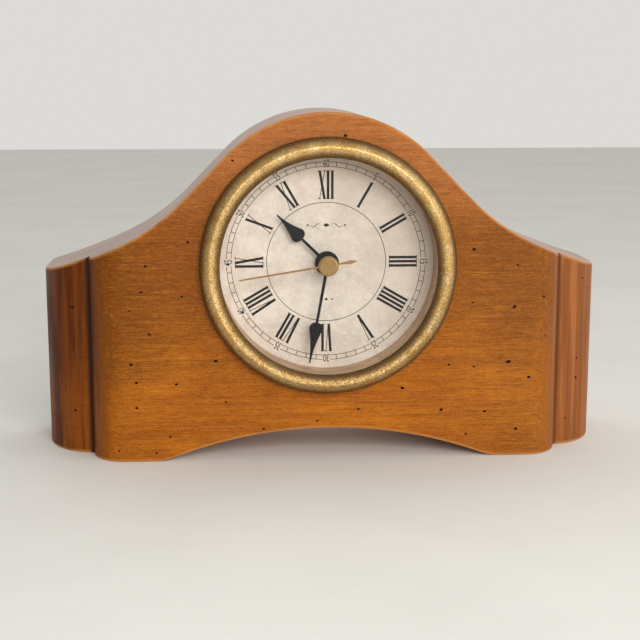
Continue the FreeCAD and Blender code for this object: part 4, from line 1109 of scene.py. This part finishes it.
def ornaments(shape):
    """A lozenge between two fine curling lines above the hands, and three small lozenges below."""
    lozenge(shape, 0.0, ORNAMENT_UP, *LOZENGE)
    level = DIAL_Z + ORNAMENT_UP
    for side in (-1, 1):
        curve, under = [], []
        for share in [step / CURL_STEPS for step in range(CURL_STEPS + 1)]:
            x, z = side * (CURL_START + CURL_LENGTH * share), level + CURL_RISE * math.sin(math.tau * share)
            curve.append((x, z))
            under.append((x, z - CURL_THICK * (1 - abs(2 * share - 1)) - CURL_THIN))
        ribbon(shape, curve, under)
        for start in (0.0, math.pi):
            turn = [start + math.pi * step / DOT_STEPS for step in range(DOT_STEPS + 1)]
            rim, hub = [[(side * DOT_PLACE + radius * math.cos(angle), level + radius * math.sin(angle))
                         for angle in turn] for radius in (DOT_RADIUS, DOT_HOLE)]
            ribbon(shape, rim, hub)
    for across, size in LOWER_LOZENGES:
        lozenge(shape, across, ORNAMENT_DOWN, size * LOWER_WIDENING, size)


def hour_numerals(shape):
    for hour, letters in enumerate(NUMERALS, 1):
        numeral(shape, letters, hour * HOUR)


def inner_circle(shape):
    arc_line(shape, INNER_CIRCLE, INNER_LINE, 0, 360)


def dial_print():
    ink = dial_ink()
    for maker in (hour_numerals, minute_figures, minute_track, inner_circle, ornaments):
        shape = bmesh.new()
        maker(shape)
        fit(piece_from(shape, maker.__name__, [ink], 20.0), "case", "dial_paint")


# ---- Behind the dial ----
def cell():
    """Dry cell with a crimped rim at each end, a flat minus end and a stepped plus nub."""
    radius = (CELL_HIGH.z - CELL_LOW.z) / 2
    left, right = CELL_LOW.x, CELL_HIGH.x
    nub, crimp, bead = 2.7, 0.15, 0.22
    shoulder = left + 1.2
    outline = [(0.0, left), (nub - 0.5, left), (nub, left + 0.35), (nub, shoulder - 0.1),
               (nub + 0.5, shoulder + crimp), (radius - 1.1, shoulder + crimp), (radius - 0.7, shoulder),
               (radius - 0.25, shoulder + crimp), (radius, shoulder + 0.6), (radius, shoulder + 2.0),
               (radius - bead, shoulder + 2.4), (radius - bead, shoulder + 2.9), (radius, shoulder + 3.3),
               (radius, right - 0.6), (radius - 0.2, right - 0.12), (radius - 0.7, right),
               (radius - 1.1, right - crimp), (radius - 1.6, right - 0.35), (0.0, right - 0.35)]
    shape = turned(outline, 0.0, 0.0, CELL_STEPS)
    middle = Vector((0.0, (CELL_LOW.y + CELL_HIGH.y) / 2, (CELL_LOW.z + CELL_HIGH.z) / 2))
    shape.transform(Matrix.Translation(middle) @ Matrix.Rotation(-math.pi / 2, 4, "Z"))
    fit(piece_from(shape, "cell", [cell_jacket()]), "battery", "cell_jacket", "battery_cell")


def raised_bar(shape, x, z, half_width, half_height, height):
    """A low bar on the movement's cover with its upper edges eased."""
    rings = []
    for rise, shrink in ((0.0, 0.0), (height * 0.7, 0.0), (height, BAR_EASING)):
        across, up = half_width - shrink, half_height - shrink
        rings.append([(x + right * across, COVER_HIGH.y + rise, z + top * up)
                      for right, top in ((-1, -1), (1, -1), (1, 1), (-1, 1))])
    stack(shape, rings)


def cover_relief():
    """Ribs, plus and minus signs and a collar round the knob, moulded on the movement's cover."""
    plastic = bpy.data.materials["movement_plastic"]
    shape = bmesh.new()
    for rib in range(RIBS):
        raised_bar(shape, RIB_PLACE, COVER_HIGH.z - RIB_DROP - rib * RIB_SPACING, *RIB_SIZE)
    sign = CELL_HIGH.z + SIGN_RISE
    for x in (-SIGN_PLACE, SIGN_PLACE):
        raised_bar(shape, x, sign, *SIGN_SIZE)
    for rise in (-ARM_RISE, ARM_RISE):
        raised_bar(shape, -SIGN_PLACE, sign + rise, *ARM_SIZE)
    fit(piece_from(shape, "cover_relief", [plastic]), "case", "movement_plastic")

    base = COVER_HIGH.y
    top = base + COLLAR_HEIGHT
    inner = (KNOB_HIGH.x - KNOB_LOW.x) / 2 + COLLAR_GAP
    outer = inner + COLLAR_WIDTH
    outline = [(inner, base), (inner, top - COLLAR_EASING), (inner + COLLAR_EASING, top),
               (outer - COLLAR_EASING, top), (outer, top - COLLAR_EASING), (outer, base)]
    knob = (KNOB_LOW + KNOB_HIGH) / 2
    collar = piece_from(turned(outline, knob.x, knob.z, SMALL_STEPS), "knob_collar", [plastic])
    fit(collar, "case", "movement_plastic")


# ---- Finishes of the parts that keep their plain shape ----
def finish_plain_parts():
    steel, nickel = srgb(176, 176, 172), srgb(196, 194, 184)
    finishes = {
        clear_glass(): ("glass_lens",),
        parchment(): ("dial_plate",),
        hand_black(): ("hour_hand", "minute_hand"),
        gilt_hand(): ("second_hand",),
        wound_copper(): ("coil_winding",),
        circuit_green(): ("circuit_board",),
        brushed("steel", steel, srgb(132, 132, 130)): ("dial_washer", "hex_nut", "second_arbor"),
        brushed("brass", srgb(206, 168, 92), srgb(160, 122, 60)): ("threaded_bushing",),
        brushed("spring_metal", nickel, srgb(150, 148, 140), 0.25, (4.0, 0.4, 0.4)):
            ("quartz_crystal", "positive_contact", "negative_contact"),
        brushed("stator_steel", srgb(142, 142, 142), srgb(108, 108, 110), 0.4, (0.4, 4.0, 0.4)):
            ("stator", "coil_core"),
        moulded("black_rubber", srgb(22, 22, 22), srgb(36, 35, 34), 3.5, 0.8, 0.05):
            ("lens_gasket", "grip_band"),
        moulded("can_plastic", srgb(20, 20, 21), srgb(34, 34, 35)): ("insert_can",),
        moulded("movement_plastic", srgb(24, 24, 26), srgb(40, 40, 42)):
            ("setting_knob", "movement_front_case", "movement_back_cover"),
        moulded("gear_plastic", srgb(232, 228, 214), srgb(210, 204, 186), 1.2, 0.35, 0.02):
            ("hour_wheel", "minute_cannon", "center_wheel", "second_wheel", "third_wheel",
             "intermediate_wheel", "rotor_pinion", "motion_wheel"),
        moulded("magnet", srgb(52, 52, 56), srgb(84, 82, 84), 4.0, 0.5, 0.03): ("rotor_magnet",),
        moulded("bobbin_plastic", srgb(206, 196, 168), srgb(182, 170, 140), 1.5, 0.4, 0.02):
            ("coil_bobbin",),
        moulded("chip_resin", srgb(12, 12, 13), srgb(26, 26, 28), 1.5, 0.25, 0.03): ("timer_chip",),
    }
    for finish, nodes in finishes.items():
        for node in nodes:
            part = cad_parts[node]
            part.data.materials.clear()
            part.data.materials.append(finish)


# ---- Setting the scene ----
def pale_floor():
    finish = Finish("pale_floor")
    mottle = finish.noise(finish.place * 0.01, 4.0, 0.6)
    fine = finish.noise(finish.place * 0.4, 3.0, 0.6)
    colour = finish.mix(mottle.step(0.3, 0.7), srgb(238, 237, 233), srgb(233, 232, 228))
    paint = finish.done(Base_Color=colour, Roughness=fine.step(0.2, 0.8, 0.8, 0.9),
                        Normal=finish.bump(fine, 0.05, 0.2), Specular_IOR_Level=0.1)
    shape = bmesh.new()
    corners = ((-1, -1), (1, -1), (1, 1), (-1, 1))
    shape.faces.new([shape.verts.new((x * FLOOR_HALF, y * FLOOR_HALF, 0.0)) for x, y in corners])
    piece_from(shape, "pale_floor", [paint])


def soft_light(name, place, size, watts, colour):
    """A soft lamp that faces the dial's centre; its size is in metres."""
    lamp = bpy.data.lights.new(name, "AREA")
    lamp.shape = "RECTANGLE"
    lamp.size, lamp.size_y = size
    lamp.energy = watts
    lamp.color = colour
    holder = bpy.data.objects.new(name, lamp)
    bpy.context.scene.collection.objects.link(holder)
    holder.location = Vector(place) * MM
    way = Vector((0.0, 0.0, DIAL_Z)) - Vector(place)
    holder.rotation_euler = way.to_track_quat("-Z", "Y").to_euler()


def pale_room():
    """An even pale backdrop; as a light it is a wall behind, a right-hand side, a ceiling and a dim rest."""
    room = Finish("pale_room", bpy.data.worlds.new("pale_room"))
    way = room.node("ShaderNodeTexCoord", {}, {}, "Generated")
    seen = room.node("ShaderNodeLightPath", {}, {}, "Is Camera Ray")
    wall = way.axis("Y").step(0.0, 0.6, 0.0, ROOM_WALL)
    right = way.axis("X").step(0.1, 0.9, 0.0, ROOM_RIGHT)
    above = way.axis("Z").step(0.1, 0.9, 0.0, ROOM_CEILING)
    glow = wall + right + above + ROOM_DARKEST
    strength = seen * BACKDROP + (1.0 - seen) * glow
    shade = room.node("ShaderNodeBackground", {}, {"Color": srgb(255, 253, 248), "Strength": strength})
    room.node("ShaderNodeOutputWorld", {}, {"Surface": shade})
    bpy.context.scene.world = room.material


def studio():
    pale_room()
    soft_light("front_window", KEY_PLACE, KEY_SIZE, KEY_WATTS, (1.0, 0.985, 0.96))
    soft_light("right_window", SIDE_PLACE, SIDE_SIZE, SIDE_WATTS, (1.0, 1.0, 1.0))
    bpy.context.scene.view_settings.view_transform = "Standard"


def camera():
    lens = bpy.data.cameras.new("camera")
    lens.lens = CAMERA_LENS
    lens.sensor_width = 36.0
    lens.clip_start = 0.01
    holder = bpy.data.objects.new("camera", lens)
    bpy.context.scene.collection.objects.link(holder)
    forward = Vector((math.sin(CAMERA_YAW) * math.cos(CAMERA_PITCH),
                      math.cos(CAMERA_YAW) * math.cos(CAMERA_PITCH), -math.sin(CAMERA_PITCH)))
    level = Vector((math.cos(CAMERA_YAW), -math.sin(CAMERA_YAW), 0.0))
    over = level.cross(forward)
    right = level * math.cos(CAMERA_ROLL) + over * math.sin(CAMERA_ROLL)
    up = right.cross(forward)
    turn = Matrix((right, up, -forward)).transposed().to_4x4()
    holder.matrix_world = Matrix.Translation(CAMERA_PLACE * MM) @ turn
    bpy.context.scene.camera = holder


camera()
finish_plain_parts()
wooden_case()
bezel()
wall_sleeve()
hub_cap()
dial_print()
cell()
cover_relief()
pale_floor()
studio()
